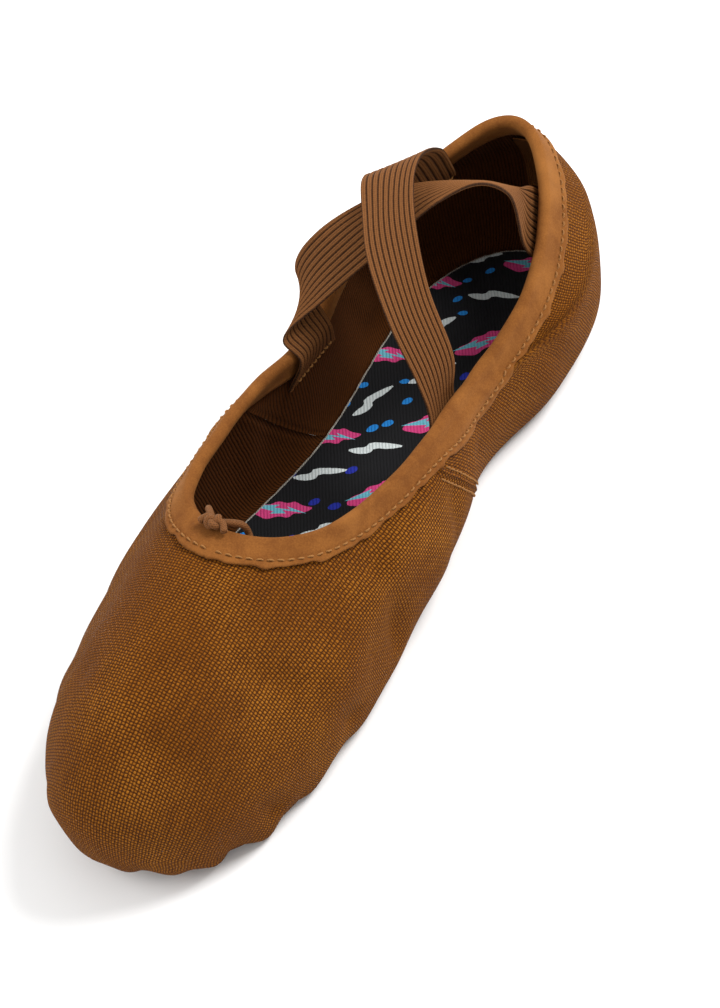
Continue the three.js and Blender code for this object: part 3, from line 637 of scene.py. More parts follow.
def ribbed_elastic(name, dark, light):
    """Woven ribbed elastic: spun polyester wrapped over rubber, with fine slanting fibres over each rib, and painted
    shade that darkens the grooves between the ribs.
    """
    made, tree, shader = new_material(name, 0.85, sheen=0.1, sheen_tint="#b87a40")
    u, v, flat = cloth_place(tree, 0.2, 0.8)
    slant = math_node(tree, "MULTIPLY_ADD", u, 0.9, v)
    fibre = half_waves(tree, slant, 0.6)
    fuzz = add_node(tree, "ShaderNodeTexNoise", {"Vector": flat, "Scale": 1.6, "Detail": 5.0}).outputs["Fac"]
    painted_groove_shade = add_node(tree, "ShaderNodeAttribute", attribute_name="rib_height").outputs["Fac"]
    # painted shade: the grooves between the ribs are painted dark and the ribs' tops light, from the rib height
    tone = math_node(tree, "ADD", math_node(tree, "MULTIPLY", math_node(tree, "POWER", painted_groove_shade, 1.6), 0.85),
                     math_node(tree, "MULTIPLY_ADD", fibre, 0.16, -0.08))
    tone = math_node(tree, "ADD", tone, math_node(tree, "MULTIPLY_ADD", fuzz, 0.5, -0.22), clamp=True)
    tree.links.new(colour_mix(tree, tone, dark, light), shader.inputs["Base Color"])
    bump = add_node(tree, "ShaderNodeBump", {"Height": math_node(tree, "MULTIPLY_ADD", fibre, 0.5, fuzz),
                                             "Strength": 0.7, "Distance": 0.1 * MM})
    tree.links.new(bump.outputs[0], shader.inputs["Normal"])
    return made


def spun_thread(name, dark, light, twist=0.55, roughness=0.7):
    """Spun polyester thread and braided cord: a tight slanting twist with a faint sheen, each turn painted lighter on
    its crown and darker between turns as painted highlight and painted shade.
    """
    made, tree, shader = new_material(name, roughness, sheen=0.15, sheen_tint="#e6c8a4")
    u, v, flat = cloth_place(tree, 0.1, 1.0)
    slant = math_node(tree, "ADD", u, v)
    ply = half_waves(tree, slant, twist)
    back = math_node(tree, "ABSOLUTE", math_node(tree, "SINE", math_node(tree, "MULTIPLY",
                     math_node(tree, "SUBTRACT", u, v), math.pi / twist)))
    braid = math_node(tree, "MAXIMUM", ply, math_node(tree, "MULTIPLY", back, 0.85))
    fuzz = add_node(tree, "ShaderNodeTexNoise", {"Vector": flat, "Scale": 2.5, "Detail": 3.0}).outputs["Fac"]
    # painted highlight on each turn's crown and painted shade between the turns, from the ply height
    tone = math_node(tree, "ADD", math_node(tree, "MULTIPLY", braid, 0.8),
                     math_node(tree, "MULTIPLY_ADD", fuzz, 0.5, -0.25), clamp=True)
    tree.links.new(colour_mix(tree, tone, dark, light), shader.inputs["Base Color"])
    bump = add_node(tree, "ShaderNodeBump", {"Height": braid, "Strength": 0.8, "Distance": 0.1 * MM})
    tree.links.new(bump.outputs[0], shader.inputs["Normal"])
    return made


def printed_jersey(name, dark, light):
    """Pigment print on fine-rib jersey: matt, a little uneven, with the cloth's wales showing through as bumps and as
    painted shade between them.
    """
    made, tree, shader = new_material(name, 0.9, sheen=0.08)
    u, v, flat = cloth_place(tree, 0.3, 0.4)
    angle = math.radians(32)
    along = math_node(tree, "ADD", math_node(tree, "MULTIPLY", u, math.cos(angle)),
                      math_node(tree, "MULTIPLY", v, math.sin(angle)))
    wale = half_waves(tree, along, 0.9)
    fuzz = add_node(tree, "ShaderNodeTexNoise", {"Vector": flat, "Scale": 1.8, "Detail": 4.0}).outputs["Fac"]
    # painted shade: darker between the wales and lighter on them, from the wale height
    tone = math_node(tree, "ADD", math_node(tree, "MULTIPLY", math_node(tree, "POWER", wale, 0.6), 0.7),
                     math_node(tree, "MULTIPLY_ADD", fuzz, 0.6, -0.15), clamp=True)
    tree.links.new(colour_mix(tree, tone, dark, light), shader.inputs["Base Color"])
    bump = add_node(tree, "ShaderNodeBump", {"Height": wale, "Strength": 0.8, "Distance": 0.15 * MM})
    tree.links.new(bump.outputs[0], shader.inputs["Normal"])
    return made


def pressed_board(name, dark, light, scale, relief):
    """Pressed cellulose fibreboard or cut foam: a fine irregular grain with no shine."""
    made, tree, shader = new_material(name, 0.9)
    place = add_node(tree, "ShaderNodeTexCoord").outputs["Object"]
    grain = add_node(tree, "ShaderNodeTexNoise", {"Vector": place, "Scale": scale, "Detail": 6.0}).outputs["Fac"]
    pores = add_node(tree, "ShaderNodeTexVoronoi", {"Vector": place, "Scale": scale * 1.6}).outputs["Distance"]
    tone = math_node(tree, "ADD", math_node(tree, "MULTIPLY", grain, 0.8), math_node(tree, "MULTIPLY", pores, 0.4),
                     clamp=True)
    tree.links.new(colour_mix(tree, tone, dark, light), shader.inputs["Base Color"])
    bump = add_node(tree, "ShaderNodeBump", {"Height": grain, "Strength": 0.5, "Distance": relief * MM})
    tree.links.new(bump.outputs[0], shader.inputs["Normal"])
    return made


canvas_cloth = plain_weave("woven_cotton_canvas", "#381800", "#7a4404", "#9c6219", 0.92, 0.8, 0.36)
lining_jersey = ribbed_jersey("fine_rib_cotton_jersey", "#220e01", "#5b2f08", 1.0, math.pi / 2, 0.2)
tape_jersey = ribbed_jersey("cotton_seam_tape", "#4a2810", "#7a4c22", 0.7, math.pi / 2, 0.15)
binding_suede = microfibre_suede("brushed_microfibre_suede_binding", "#6a3d16", "#935d28", "#a46c34", 0.45)
sole_suede = microfibre_suede("split_suede_sole", "#73502f", "#9c7450", "#5d4029", 0.6)
strap_elastic = ribbed_elastic("woven_ribbed_elastic", "#1d0b04", "#8b592f")
cord_braid = spun_thread("braided_elastic_cord", "#2e1606", "#83522a", twist=0.7)
stitch_thread = spun_thread("spun_polyester_thread", "#6a4119", "#aa7640")
raw_fibre = spun_thread("raw_white_fibre_edge", "#5d5850", "#c9c4b8", twist=0.8, roughness=0.95)
insole_board = pressed_board("pressed_cellulose_fibreboard", "#8d744e", "#bba37a", 900.0, 0.08)
insole_foam = pressed_board("cut_latex_foam", "#c9bc9c", "#e4dac4", 1400.0, 0.15)
print_ground = printed_jersey("black_print_on_jersey", "#0a0a0b", "#1d1d1f")
print_pink = printed_jersey("pink_print_on_jersey", "#b02a63", "#dc4a86")
print_pale = printed_jersey("pale_blue_print_on_jersey", "#4f96a8", "#74c0d0")
print_white = printed_jersey("white_print_on_jersey", "#a9b3b4", "#d9e0de")
print_blue = printed_jersey("blue_print_on_jersey", "#145fa8", "#2a8ad8")
print_navy = printed_jersey("dark_blue_print_on_jersey", "#151f70", "#2a35a8")


def bends(piece):
    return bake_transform(piece)


def finished(piece, slot, *nodes):
    """The piece stands for these CAD nodes, which it hides. slot: not used."""
    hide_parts(*nodes)
    return piece


# ---- upper and lining ----
def wall_rows(count_low, top_down, turn):
    """Climbs of one column: closer together at the turn under the foot, where the gathers are."""
    highest = climb_below(turn, top_down)
    share = np.linspace(0, 1, count_low)
    share = 0.45 * share**2 + 0.55 * share
    return share[:, None] * np.asarray(highest)[None, :]


def panel(name, edge_from, edge_to, columns, rows, outer, inner, margin, material):
    """A cloth panel of the wall between two edges that depend on the height, with its margin under the foot."""
    across = np.linspace(0, 1, columns)
    top_turn = edge_from(1.0) + (edge_to(1.0) - edge_from(1.0)) * across
    climbs = wall_rows(rows, WALL_TOP, top_turn)
    low, high = edge_from(climbs), edge_to(climbs)
    turns = low + (high - low) * across[None, :]
    foot_turn = turns[0]
    insets = np.linspace(margin, 0, 6)[:-1]
    faces = []
    for out in (outer, inner):
        margin_rows = [under(foot_turn, np.full(columns, inset), np.full(columns, -out)) for inset in insets]
        faces.append(np.concatenate([np.stack(margin_rows), off(turns, climbs, out)], axis=0))
    # threads run along the vamp, and round and up the quarters; the lining's ribs run across the vamp
    over_toes = name.startswith("vamp")
    laid_out = flat_pattern if over_toes else around_and_down
    uv_wall = laid_out(turns[::-1], climbs[::-1])[::-1]
    if over_toes and material is lining_jersey:
        uv_wall = uv_wall[..., ::-1]
    uv_margin = np.stack([uv_wall[0] + inset * unit(uv_wall[0] - uv_wall[3]) for inset in insets])
    return shell(name, faces[0], faces[1], np.concatenate([uv_margin, uv_wall], axis=0), material)


def beside(turn, climb, way):
    span = np.linalg.norm(skin(turn + 0.5, climb) - skin(turn - 0.5, climb), axis=-1)
    return turn + way * SEAM_GAP / 2 / span


def vamp_edge(climb):
    return beside(seam_turn(np.asarray(climb, float)), np.asarray(climb, float), -1)


def quarter_edge(climb):
    return beside(seam_turn(np.asarray(climb, float)), np.asarray(climb, float), 1)


def heel_edge(climb):
    climb = np.asarray(climb, float)
    return beside(np.full(climb.shape, 180.0), climb, -1)


WALL_LAYERS = [("outer", 0, -CANVAS, CANVAS_MARGIN, canvas_cloth, "canvas"),
               ("lining", LINING_OUT, LINING_IN, LINING_MARGIN, lining_jersey, "jersey")]
for layer, outer, inner, margin, cloth, slot in WALL_LAYERS:
    fine = 1 if layer == "outer" else 0.5
    vamp = panel(f"vamp_{layer}_cloth", lambda c: -vamp_edge(c), vamp_edge, int(260 * fine) | 1, int(90 * fine) | 1,
                 outer, inner, margin, cloth)
    bends(finished(vamp, slot, f"vamp_{layer}"))
    right = panel(f"quarter_{layer}_right_cloth", quarter_edge, heel_edge, int(120 * fine) | 1, int(70 * fine) | 1,
                  outer, inner, margin, cloth)
    bends(finished(right, slot, f"quarter_{layer}_right"))
    left = panel(f"quarter_{layer}_left_cloth", lambda c: 360 - heel_edge(c), lambda c: 360 - quarter_edge(c),
                 int(120 * fine) | 1, int(70 * fine) | 1, outer, inner, margin, cloth)
    bends(finished(left, slot, f"quarter_{layer}_left"))

# ---- binding: folded over the edges, its raw lower edge a little wavy below the stitches ----
STITCH_DEPTH = BINDING_DEPTH - 2
topline_turns = np.arange(0, 360, 0.5)
ridge_run = np.concatenate([[0], np.cumsum(np.linalg.norm(
    np.diff(skin(np.append(topline_turns, 360), 1.0), axis=0), axis=1))])[:-1]
STITCH_PITCH = 2.6


def edge_waver(run):
    return (0.30 * np.sin(run / 2.1 + 0.7) + 0.22 * np.sin(run / 1.13 + 2.0) + 0.18 * np.sin(run / 4.3)
            + 0.12 * np.sin(run / 0.71 + 1.0))


def binding_ring():
    roll = np.radians(np.linspace(0, 180, 17))
    outside = ([(BINDING_DEPTH, 0.0, BINDING_OUT)] + [(d, 0, BINDING_OUT) for d in
               (9.4, 8.7, STITCH_DEPTH, 7.3, 6.6, BINDING_MIDDLE, 5.0, 4.0, 3.0)]
               + [(ROLL - ROLL * math.sin(a), 1, ROLL_CENTRE + ROLL * math.cos(a)) for a in roll]
               + [(d, 2, BINDING_IN) for d in (3.0, 4.0, 5.0, BINDING_MIDDLE, 7.0, BINDING_INNER)])
    thin = ROLL - BINDING
    inside = ([(d, 2, BINDING_IN + BINDING) for d in (BINDING_INNER, BINDING_MIDDLE, 4.0)]
              + [(ROLL - thin * math.sin(a), 1, ROLL_CENTRE + thin * math.cos(a)) for a in roll[::-1][::2]]
              + [(d, 0, BINDING_OUT - BINDING) for d in (4.0, BINDING_MIDDLE, STITCH_DEPTH, BINDING_DEPTH)])
    waver = edge_waver(ridge_run)
    pucker = 0.5 + 0.5 * np.cos(ridge_run * 2 * math.pi / STITCH_PITCH)
    sections, uvs = [], []
    for k, (down, part, out) in enumerate(outside + inside):
        reach = np.clip((down - 6.5) / 3.5, 0, 1)
        d = np.full(topline_turns.shape, float(down)) + (waver * reach if part == 0 else 0)
        o = np.full(topline_turns.shape, float(out))
        if part == 0:
            o -= 0.32 * math.exp(-((down - STITCH_DEPTH) / 0.55)**2) * (0.55 + 0.45 * pucker)
            o += 0.22 * reach * (down > STITCH_DEPTH) * (0.5 + 0.5 * np.sin(ridge_run / 1.6))
        o += 0.10 * np.sin(ridge_run / 2.7 + 0.4 * down) * np.clip(1 - down / 7, 0, 1)
        sections.append(below(topline_turns, d, o))
        uvs.append(np.stack([ridge_run, np.full(ridge_run.shape, k * 0.8)], -1))
    return np.stack(sections, 1), np.stack(uvs, 1)


binding_sections, binding_uv = binding_ring()
binding = sweep("binding_suede_tape", binding_sections, binding_uv, binding_suede, closed=True)
bends(finished(binding, "binding_suede", "binding"))

stitch_turns = np.append(topline_turns, 360)
stitch_line = below(stitch_turns, STITCH_DEPTH, BINDING_OUT - 0.1)
topline_stitches = stitch_row("topline_stitches", stitch_line,
                              facing(stitch_turns, climb_below(stitch_turns, STITCH_DEPTH)),
                              STITCH_PITCH - 0.7, 0.7, 0.26, stitch_thread)
bends(finished(topline_stitches, "thread", "topline_thread"))

# ---- side seams and heel seam ----
SEAM_SPACE, SEAM_THREAD = 0.6, 0.27     # between stitches, and the radius of their thread
for side, way in (("right", 1), ("left", -1)):
    for row, shift in (("front", -1), ("back", 1)):
        seam_climbs = np.linspace(0.955, 0.16, 60) * SEAM_START
        middle = seam_turn(seam_climbs)
        span = np.linalg.norm(skin(middle + 0.5, seam_climbs) - skin(middle - 0.5, seam_climbs), axis=-1)
        turns = way * (middle + shift * SEAM_ROWS / 2 / span)
        seam_stitches = stitch_row(f"side_seam_stitches_{row}_{side}", off(turns, seam_climbs, 0.16),
                                   facing(turns, seam_climbs), 1.6, SEAM_SPACE, SEAM_THREAD, stitch_thread,
                                   waver=0.1)
        bends(finished(seam_stitches, "thread", f"side_seam_thread_{row}_{side}"))
heel_climbs = climb_below(180, np.linspace(BINDING_DEPTH + 2, 40, 50))
heel_turns = np.full(heel_climbs.shape, 180.0)
heel_stitches = stitch_row("heel_seam_stitches", off(heel_turns, heel_climbs, 0.0),
                           facing(heel_turns, heel_climbs), 1.7, SEAM_SPACE, SEAM_THREAD, stitch_thread,
                           sink=0.24, waver=0.1)
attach(finished(heel_stitches, "thread", "heel_seam_thread"), "heel")

tape_half = 5.0 / np.linalg.norm(skin(180.5, 0.6) - skin(179.5, 0.6))
tape_turns = 180 + np.linspace(-1, 1, 17) * tape_half
tape_climbs = np.linspace(float(climb_below(180, 38)), float(climb_below(180, BINDING_DEPTH + 1)), 40)
tape_face = LINING_IN - GAP - 0.35
tape_bow = 0.25 * (1 - np.linspace(-1, 1, 17)**2)
tape_points = [off(tape_turns[None, :], tape_climbs[:, None], tape_face - bow - tape_bow[None, :])
               for bow in (0, BINDING)]
tape_uv = np.stack(np.broadcast_arrays(((tape_turns - 180) / tape_half * 5)[None, :],
                                       down_at(180, tape_climbs)[:, None]), -1)
heel_tape = shell("heel_tape_cloth", tape_points[0], tape_points[1], tape_uv, tape_jersey)
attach(finished(heel_tape, "jersey", "heel_tape"), "heel")


# ---- flat pieces under the foot ----
def foot_outline(middle, spread, inset, bow):
    turns = np.linspace(middle - spread, middle + spread, int(round(2 * spread / 1.5)) + 1)
    arc = under(turns, np.full(turns.shape, float(inset)), np.zeros(turns.shape))[:, :2]
    t = np.linspace(0, 1, 25)[1:-1, None]
    middle_point = np.array([0, arc[0][1] + bow])
    end = (1 - t)**2 * arc[-1] + 2 * (1 - t) * t * middle_point + t**2 * arc[0]
    return np.vstack([arc, end])


def shrunk(outline, by):
    """The outline moved inwards by so much."""
    tangent = unit(np.roll(outline, -1, 0) - np.roll(outline, 1, 0))
    inward = np.stack([-tangent[:, 1], tangent[:, 0]], -1)
    area = 0.5 * np.sum(outline[:, 0] * np.roll(outline[:, 1], -1) - np.roll(outline[:, 0], -1) * outline[:, 1])
    return outline + inward * by * (1 if area > 0 else -1)


def flat_piece(name, outline, low, high, soft, material):
    """A cut piece with softened edges: rings of the outline, closed above and below."""
    levels = [(soft, low), (soft * 0.3, low + soft * 0.25), (0, low + soft * 0.9), (0, high - soft * 0.9),
              (soft * 0.3, high - soft * 0.25), (soft, high), (soft + 1.2, high)]
    rings = [np.column_stack([shrunk(outline, by), np.full(len(outline), z)]) for by, z in levels]
    points = np.vstack(rings)
    count, rows = len(outline), len(levels)
    faces = [tuple(f) for f in grid_faces(rows, count, wrap_columns=True)]
    faces += [tuple(range(count)), tuple(range(rows * count - 1, (rows - 1) * count - 1, -1))]
    return mesh_object(name, points, outward_faces(points, faces), points[:, :2], material=material)


TOE_SPREAD, HEEL_SPREAD, PATCH_INSET = 84, 46, 3
front_patch = foot_outline(0, TOE_SPREAD, PATCH_INSET, 16)
heel_patch = foot_outline(180, HEEL_SPREAD, PATCH_INSET, -16)
for name, outline, node, body in (("front_sole_suede", front_patch, "front_sole", "forefoot"),
                                  ("heel_sole_suede", heel_patch, "heel_sole", "heel")):
    patch = flat_piece(name, outline, 0, SUEDE, 0.45, sole_suede)
    finished(patch, "sole_suede", node)
    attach(patch, body)
BOARD_INSET = LINING_MARGIN + 1.5
for end, middle, spread, bow, body in (("forefoot", 0, TOE_SPREAD, 12, "forefoot"),
                                       ("heel", 180, HEEL_SPREAD, -12, "heel")):
    board = flat_piece(f"{end}_insole_board", foot_outline(middle, spread, BOARD_INSET, bow),
                       BOARD_HIGH, BOARD_HIGH + BOARD, 0.15, insole_board)
    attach(finished(board, "fibreboard", f"{end}_board"), body)
    pad = flat_piece(f"{end}_foam_pad", foot_outline(middle, spread - 3, BOARD_INSET + 2, bow * 10 / 12),
                     PAD_HIGH, PAD_HIGH + PAD, 0.5, insole_foam)
    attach(finished(pad, "foam", f"{end}_pad"), body)

arch_inset = CANVAS_MARGIN + GAP
arch_turns = np.linspace(70, 150, 61)
arch_right = under(arch_turns, np.full(61, arch_inset), np.zeros(61))[:, :2]
arch_left = under(360 - arch_turns[::-1], np.full(61, arch_inset), np.zeros(61))[:, :2]
arch_grid = np.stack([arch_right + (arch_left[::-1] - arch_right) * t for t in np.linspace(0, 1, 25)], 1)
arch_faces = [np.dstack([arch_grid, np.full(arch_grid.shape[:2], z)]) for z in (SOLE_HIGH, SOLE_HIGH + CANVAS)]
arch = shell("arch_canvas", arch_faces[0], arch_faces[1], arch_grid, canvas_cloth)
bends(finished(arch, "canvas", "arch_panel"))


# ---- sock liner with its print of bolts and drops ----
LINER_INSET = 1.6


def liner_outline(step):
    turns = np.arange(0, 360, step)
    return under(turns, np.full(turns.shape, LINER_INSET), np.zeros(turns.shape))[:, :2]


def turned(points, angle, scale, centre):
    c, s = math.cos(angle), math.sin(angle)
    points = np.array(points, float) * scale
    return points @ np.array([[c, s], [-s, c]]) + np.array(centre)


BOLT = [(-7.6, 2.3), (-1.0, 0.6), (-1.9, -0.2), (2.4, 0.1), (1.2, 1.2), (7.8, 0.4), (2.2, 2.5), (3.4, 1.4), (-1.0, 1.9),
        (0.2, 2.9)]
FLAME = [(-8.4, 0.9), (-6.0, 3.0), (-2.4, 2.8), (-0.6, 4.4), (2.6, 3.6), (4.2, 4.6), (6.6, 3.0), (10.2, 2.6),
         (6.8, 0.2), (4.6, 0.4), (3.4, -1.6), (0.6, -0.8), (-2.6, -2.4), (-5.2, -1.0)]
ZIGZAG = [(-7.4, 0.6), (-4.6, -0.6), (-1.2, -0.2), (-0.4, 1.6), (3.6, 1.4), (7.6, 2.6), (3.4, 3.4), (-1.8, 3.5),
          (-2.6, 1.7), (-5.0, 1.5)]
DROP = [(-1.7, 0), (-0.9, 0.75), (0.2, 1.0), (1.2, 0.7), (1.6, 0), (1.2, -0.7), (0.2, -1.0), (-0.9, -0.75)]


def rounded(points, rounds):
    """Corner cutting, which leaves soft corners and keeps the tips long."""
    points = np.array(points, float)
    for _ in range(rounds):
        ahead = np.roll(points, -1, 0)
        points = np.stack([points * 0.75 + ahead * 0.25, points * 0.25 + ahead * 0.75], 1).reshape(-1, 2)
    return points


def anticlockwise(polygon):
    area = np.sum(polygon[:, 0] * np.roll(polygon[:, 1], -1) - np.roll(polygon[:, 0], -1) * polygon[:, 1])
    return polygon if area > 0 else polygon[::-1]


def sock_liner():
    draw = random.Random(41)
    edge = liner_outline(1.5)
    inner = shrunk(edge, 0.5)
    low, high = inner.min(0), inner.max(0)
    shapes = []
    taken = []

    def clear(place, reach):
        return all(math.hypot(place[0] - x, place[1] - y) > reach + r for x, y, r in taken)

    def add_shape(kind, place, angle):
        if kind == "flame":
            shapes.append((turned(rounded(FLAME, 2), angle, 1.0, place), 1))
            shapes.append((turned(BOLT, angle, 1.05, place), 2))
        else:
            shapes.append((turned(rounded(ZIGZAG, 1), angle, 1.1, place), 3))

    # bolts in staggered rows, then drops where there is room
    row_pitch, column_pitch = 15.5, 17.0
    for row in range(int((high[1] - low[1]) / row_pitch) + 1):
        for column in (-1, 0, 1):
            kind = "flame" if (row + column) % 2 else "zigzag"
            place = (column * column_pitch + draw.uniform(-2, 2) + (4 if row % 2 else -3),
                     low[1] + 6 + row * row_pitch + draw.uniform(-1.5, 1.5))
            taken.append((*place, 8.0 if kind == "flame" else 6.0))
            add_shape(kind, place, draw.uniform(0.1, 1.1) + (math.pi if draw.random() < 0.4 else 0))
    for _ in range(3200):
        place = (draw.uniform(low[0], high[0]), draw.uniform(low[1], high[1]))
        if clear(place, 2.2):
            taken.append((*place, 2.2))
            shapes.append((turned(rounded(DROP, 1), draw.uniform(0.4, 1.4), draw.uniform(0.9, 1.25), place),
                           draw.choice([4, 5])))
    verts, loops, ranks = [], [], []

    def put(polygon, rank):
        start = len(verts)
        verts.extend(Vector((float(x), float(y))) for x, y in polygon)
        loops.append(list(range(start, start + len(polygon))))
        ranks.append(rank)
    put(anticlockwise(edge), 0)
    put(anticlockwise(inner), 6)
    for polygon, rank in shapes:
        put(anticlockwise(polygon), rank)
    spacing = 5.0
    for x in np.arange(low[0], high[0], spacing):
        for y in np.arange(low[1], high[1], spacing):
            verts.append(Vector((x + 0.137, y + 0.071)))
    out_verts, _, out_faces, _, _, origins = delaunay_2d_cdt(verts, [], loops, 0, 1e-4, True)
    points2 = np.array([(v.x, v.y) for v in out_verts])
    top_faces, kinds = [], []
    for face, origin in zip(out_faces, origins):
        sources = set(origin)
        if 0 not in sources:
            continue
        kind = 7
        if 1 in sources:
            kind = 0
            for k in sorted(sources):
                if k >= 2:
                    kind = ranks[k]
        top_faces.append(tuple(face))
        kinds.append(kind)
    # its top ripples a little away from its edge and rounds down at the edge itself
    dip = 0.35 * np.sin(points2[:, 0] / 9.0 + 0.6) * np.sin(points2[:, 1] / 14.0)
    near_edge = points2[:, None, :2] - edge[None, ::4, :2]
    from_edge = np.min(np.hypot(near_edge[..., 0], near_edge[..., 1]), 1)
    soft = np.clip(from_edge / 1.0, 0, 1)
    top_z = LINER_HIGH + LINER - 0.25 * (1 - soft) + dip * np.clip(from_edge / 8, 0, 1) * 0.5
    count = len(points2)
    used = sorted({i for f in top_faces for i in f})
    renumber = {v: k for k, v in enumerate(used)}
    points2, top_z = points2[used], top_z[used]
    top_faces = [tuple(renumber[i] for i in f) for f in top_faces]
    count = len(points2)
    points = np.vstack([np.column_stack([points2, top_z]),
                        np.column_stack([points2, top_z - LINER])])
    faces = list(top_faces) + [tuple(i + count for i in reversed(f)) for f in top_faces]
    face_kinds = list(kinds) + [7] * len(top_faces)
    seen = {}
    for f in top_faces:
        for a, b in zip(f, f[1:] + f[:1]):
            seen[(a, b)] = seen.get((a, b), 0) + 1
    for (a, b) in list(seen):
        if (b, a) not in seen:
            faces.append((b, a, a + count, b + count))
            face_kinds.append(7)
    made = mesh_object("sock_liner_cloth", points, faces, points[:, :2])
    for cloth in (print_ground, print_pink, print_pale, print_white, print_blue, print_navy, print_ground,
                  raw_fibre):
        made.data.materials.append(cloth)
    made.data.polygons.foreach_set("material_index", face_kinds)
    area = sum(p.area for p in made.data.polygons[:len(top_faces)])
    return made, edge, area


liner, liner_edge, liner_area = sock_liner()
bends(finished(liner, "printed_liner", "sock_liner"))


# ---- straps ----
def through(points, shares):
    """A curve through the points, eased by the root of their distances, at these shares of its spans."""
    points = np.asarray(points, float)
    last = len(points) - 1
    out = []
    for share in shares:
        place = share * last
        i = min(int(place), last - 1)
        w = place - i
        p1, p2 = points[i], points[i + 1]
        p0 = points[i - 1] if i > 0 else 2 * points[0] - points[1]
        p3 = points[i + 2] if i + 2 <= last else 2 * points[last] - points[last - 1]
        d0, d1, d2 = (math.sqrt(np.linalg.norm(b - a)) for a, b in ((p0, p1), (p1, p2), (p2, p3)))
        m1 = ((p1 - p0) / d0 - (p2 - p0) / (d0 + d1) + (p2 - p1) / d1) * d1
        m2 = ((p2 - p1) / d1 - (p3 - p1) / (d1 + d2) + (p3 - p2) / d2) * d1
        out.append((2 * w**3 - 3 * w**2 + 1) * p1 + (w**3 - 2 * w**2 + w) * m1
                   + (3 * w**2 - 2 * w**3) * p2 + (w**3 - w**2) * m2)
    return np.array(out)


STRAP_FRONT = {"over": (96, 112), "under": (240, 257)}
STRAP_BACK = {"over": (197, 209), "under": (151, 163)}
# how each edge of a strap arches between its two ends: share of the way, mm aside, mm above the straight line
STRAP_ARCH = {
    "over": (((0.07, 1.5, 7.5), (0.21, 6, 19.5), (0.43, 9, 28), (0.59, 8.5, 31.5), (0.75, 7.5, 32), (0.91, 5, 21.5)),
             ((0.02, -1.5, 10.5), (0.18, 3.5, 23), (0.4, 6, 31.5), (0.56, 6, 32), (0.69, 4.5, 28.5), (0.86, 1, 17))),
    "under": (((-0.02, 3, 7), (-0.03, 12, 13), (0.09, 9.5, 22.5), (0.43, 4.5, 24.5), (0.74, -4, 17.5),
               (0.88, -5.5, 9.5)),
              ((-0.03, 5, 5), (0.17, 6.5, 10.5), (0.44, 3.5, 21.5), (0.68, 2, 30), (0.84, 0.5, 31.5),
               (0.95, -0.5, 24.5))),
}
RIBS = 10
RIB_DEPTH = 0.5


def strap_edge(front, back, vias, shares):
    def sewn(turn):
        climb = climb_below(turn, STRAP_TUCK)
        return skin(turn, climb) + facing(turn, climb) * STRAP_FACE

    def at_rim(turn):
        return skin(turn, climb_below(turn, 1)) + facing(turn, climb_below(turn, 1)) * STRAP_FACE
    a, b = at_rim(float(front)), at_rim(float(back))
    aside = unit(np.array([a[1] - b[1], b[0] - a[0], 0]))
    arch = [a + (b - a) * share + aside * side + np.array([0, 0, rise]) for share, side, rise in vias]
    return through([sewn(float(front)), a, *arch, b, sewn(float(back))], shares)


def strap(name):
    near, far = (0, 1) if name == "over" else (1, 0)
    shares = np.linspace(0, 1, 180)
    edge_a = strap_edge(STRAP_FRONT[name][near], STRAP_BACK[name][far], STRAP_ARCH[name][near], shares)
    edge_b = strap_edge(STRAP_FRONT[name][far], STRAP_BACK[name][near], STRAP_ARCH[name][far], shares)
    run = unit(np.gradient(edge_a, axis=0)) + unit(np.gradient(edge_b, axis=0))
    normal = unit(np.cross(run, edge_b - edge_a))
    u = np.linspace(0, 1, RIBS * 14 + 1)
    # ribs come in pairs: a deep valley between pairs and a shallow one inside each
    pair = np.abs(np.sin(u * math.pi * RIBS))**0.75
    inside = 1 - 0.4 * np.exp(-((u * RIBS % 1 - 0.5) / 0.1)**2)
    rib = pair * inside
    bow = 0.5 * (1 - (2 * u - 1)**2)                 # the strap is slightly dished across
    half = STRAP_THICK / 2 - RIB_DEPTH * (1 - rib)
    half[0] = half[-1] = 0.12
    centre = edge_a[:, None, :] + (edge_b - edge_a)[:, None, :] * u[None, :, None]
    centre = centre + normal[:, None, :] * (bow * 0.4 - 0.1)[None, :, None]
    front = centre + normal[:, None, :] * half[None, :, None]
    back = centre - normal[:, None, :] * half[None, :, None]
    width = float(np.mean(np.linalg.norm(edge_b - edge_a, axis=1)))
    length = np.concatenate([[0], np.cumsum(np.linalg.norm(np.diff((edge_a + edge_b) / 2, axis=0), axis=1))])
    uv = np.stack(np.broadcast_arrays((u * width)[None, :], length[:, None]), -1)
    made = shell(f"strap_{name}_elastic", front, back, uv, strap_elastic)
    # the ribs' heights, which the elastic's colour turns into painted shade in the grooves
    heights = np.tile(np.tile(rib, len(shares)), 2)
    rib_heights = made.data.attributes.new("rib_height", "FLOAT", "POINT")
    rib_heights.data.foreach_set("value", heights.astype(np.float32))
    finished(made, "elastic", f"strap_{name}")
    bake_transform(made)
    return edge_a, edge_b


TACKS = {"over": ("front_right", "back_left"), "under": ("front_left", "back_right")}
for name in ("over", "under"):
    edge_a, edge_b = strap(name)
    for tack, row in zip(TACKS[name], (4, -5)):
        a, b = edge_a[row], edge_b[row]
        normal = unit(np.cross(edge_a[row + 1] - edge_a[row], b - a))
        inward = normal * -np.sign(normal[0] * a[0]) * (STRAP_THICK / 2 + 0.12)
        line = a + (b - a) * np.linspace(0.06, 0.94, 30)[:, None] + inward
        tack_row = stitch_row(f"strap_stitches_{tack}", line, np.tile(unit(inward), (30, 1)), 1.5, 0.5, THREAD,
                              stitch_thread, sink=0.2)
        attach(finished(tack_row, "thread", f"strap_tack_{tack}"), "heel")

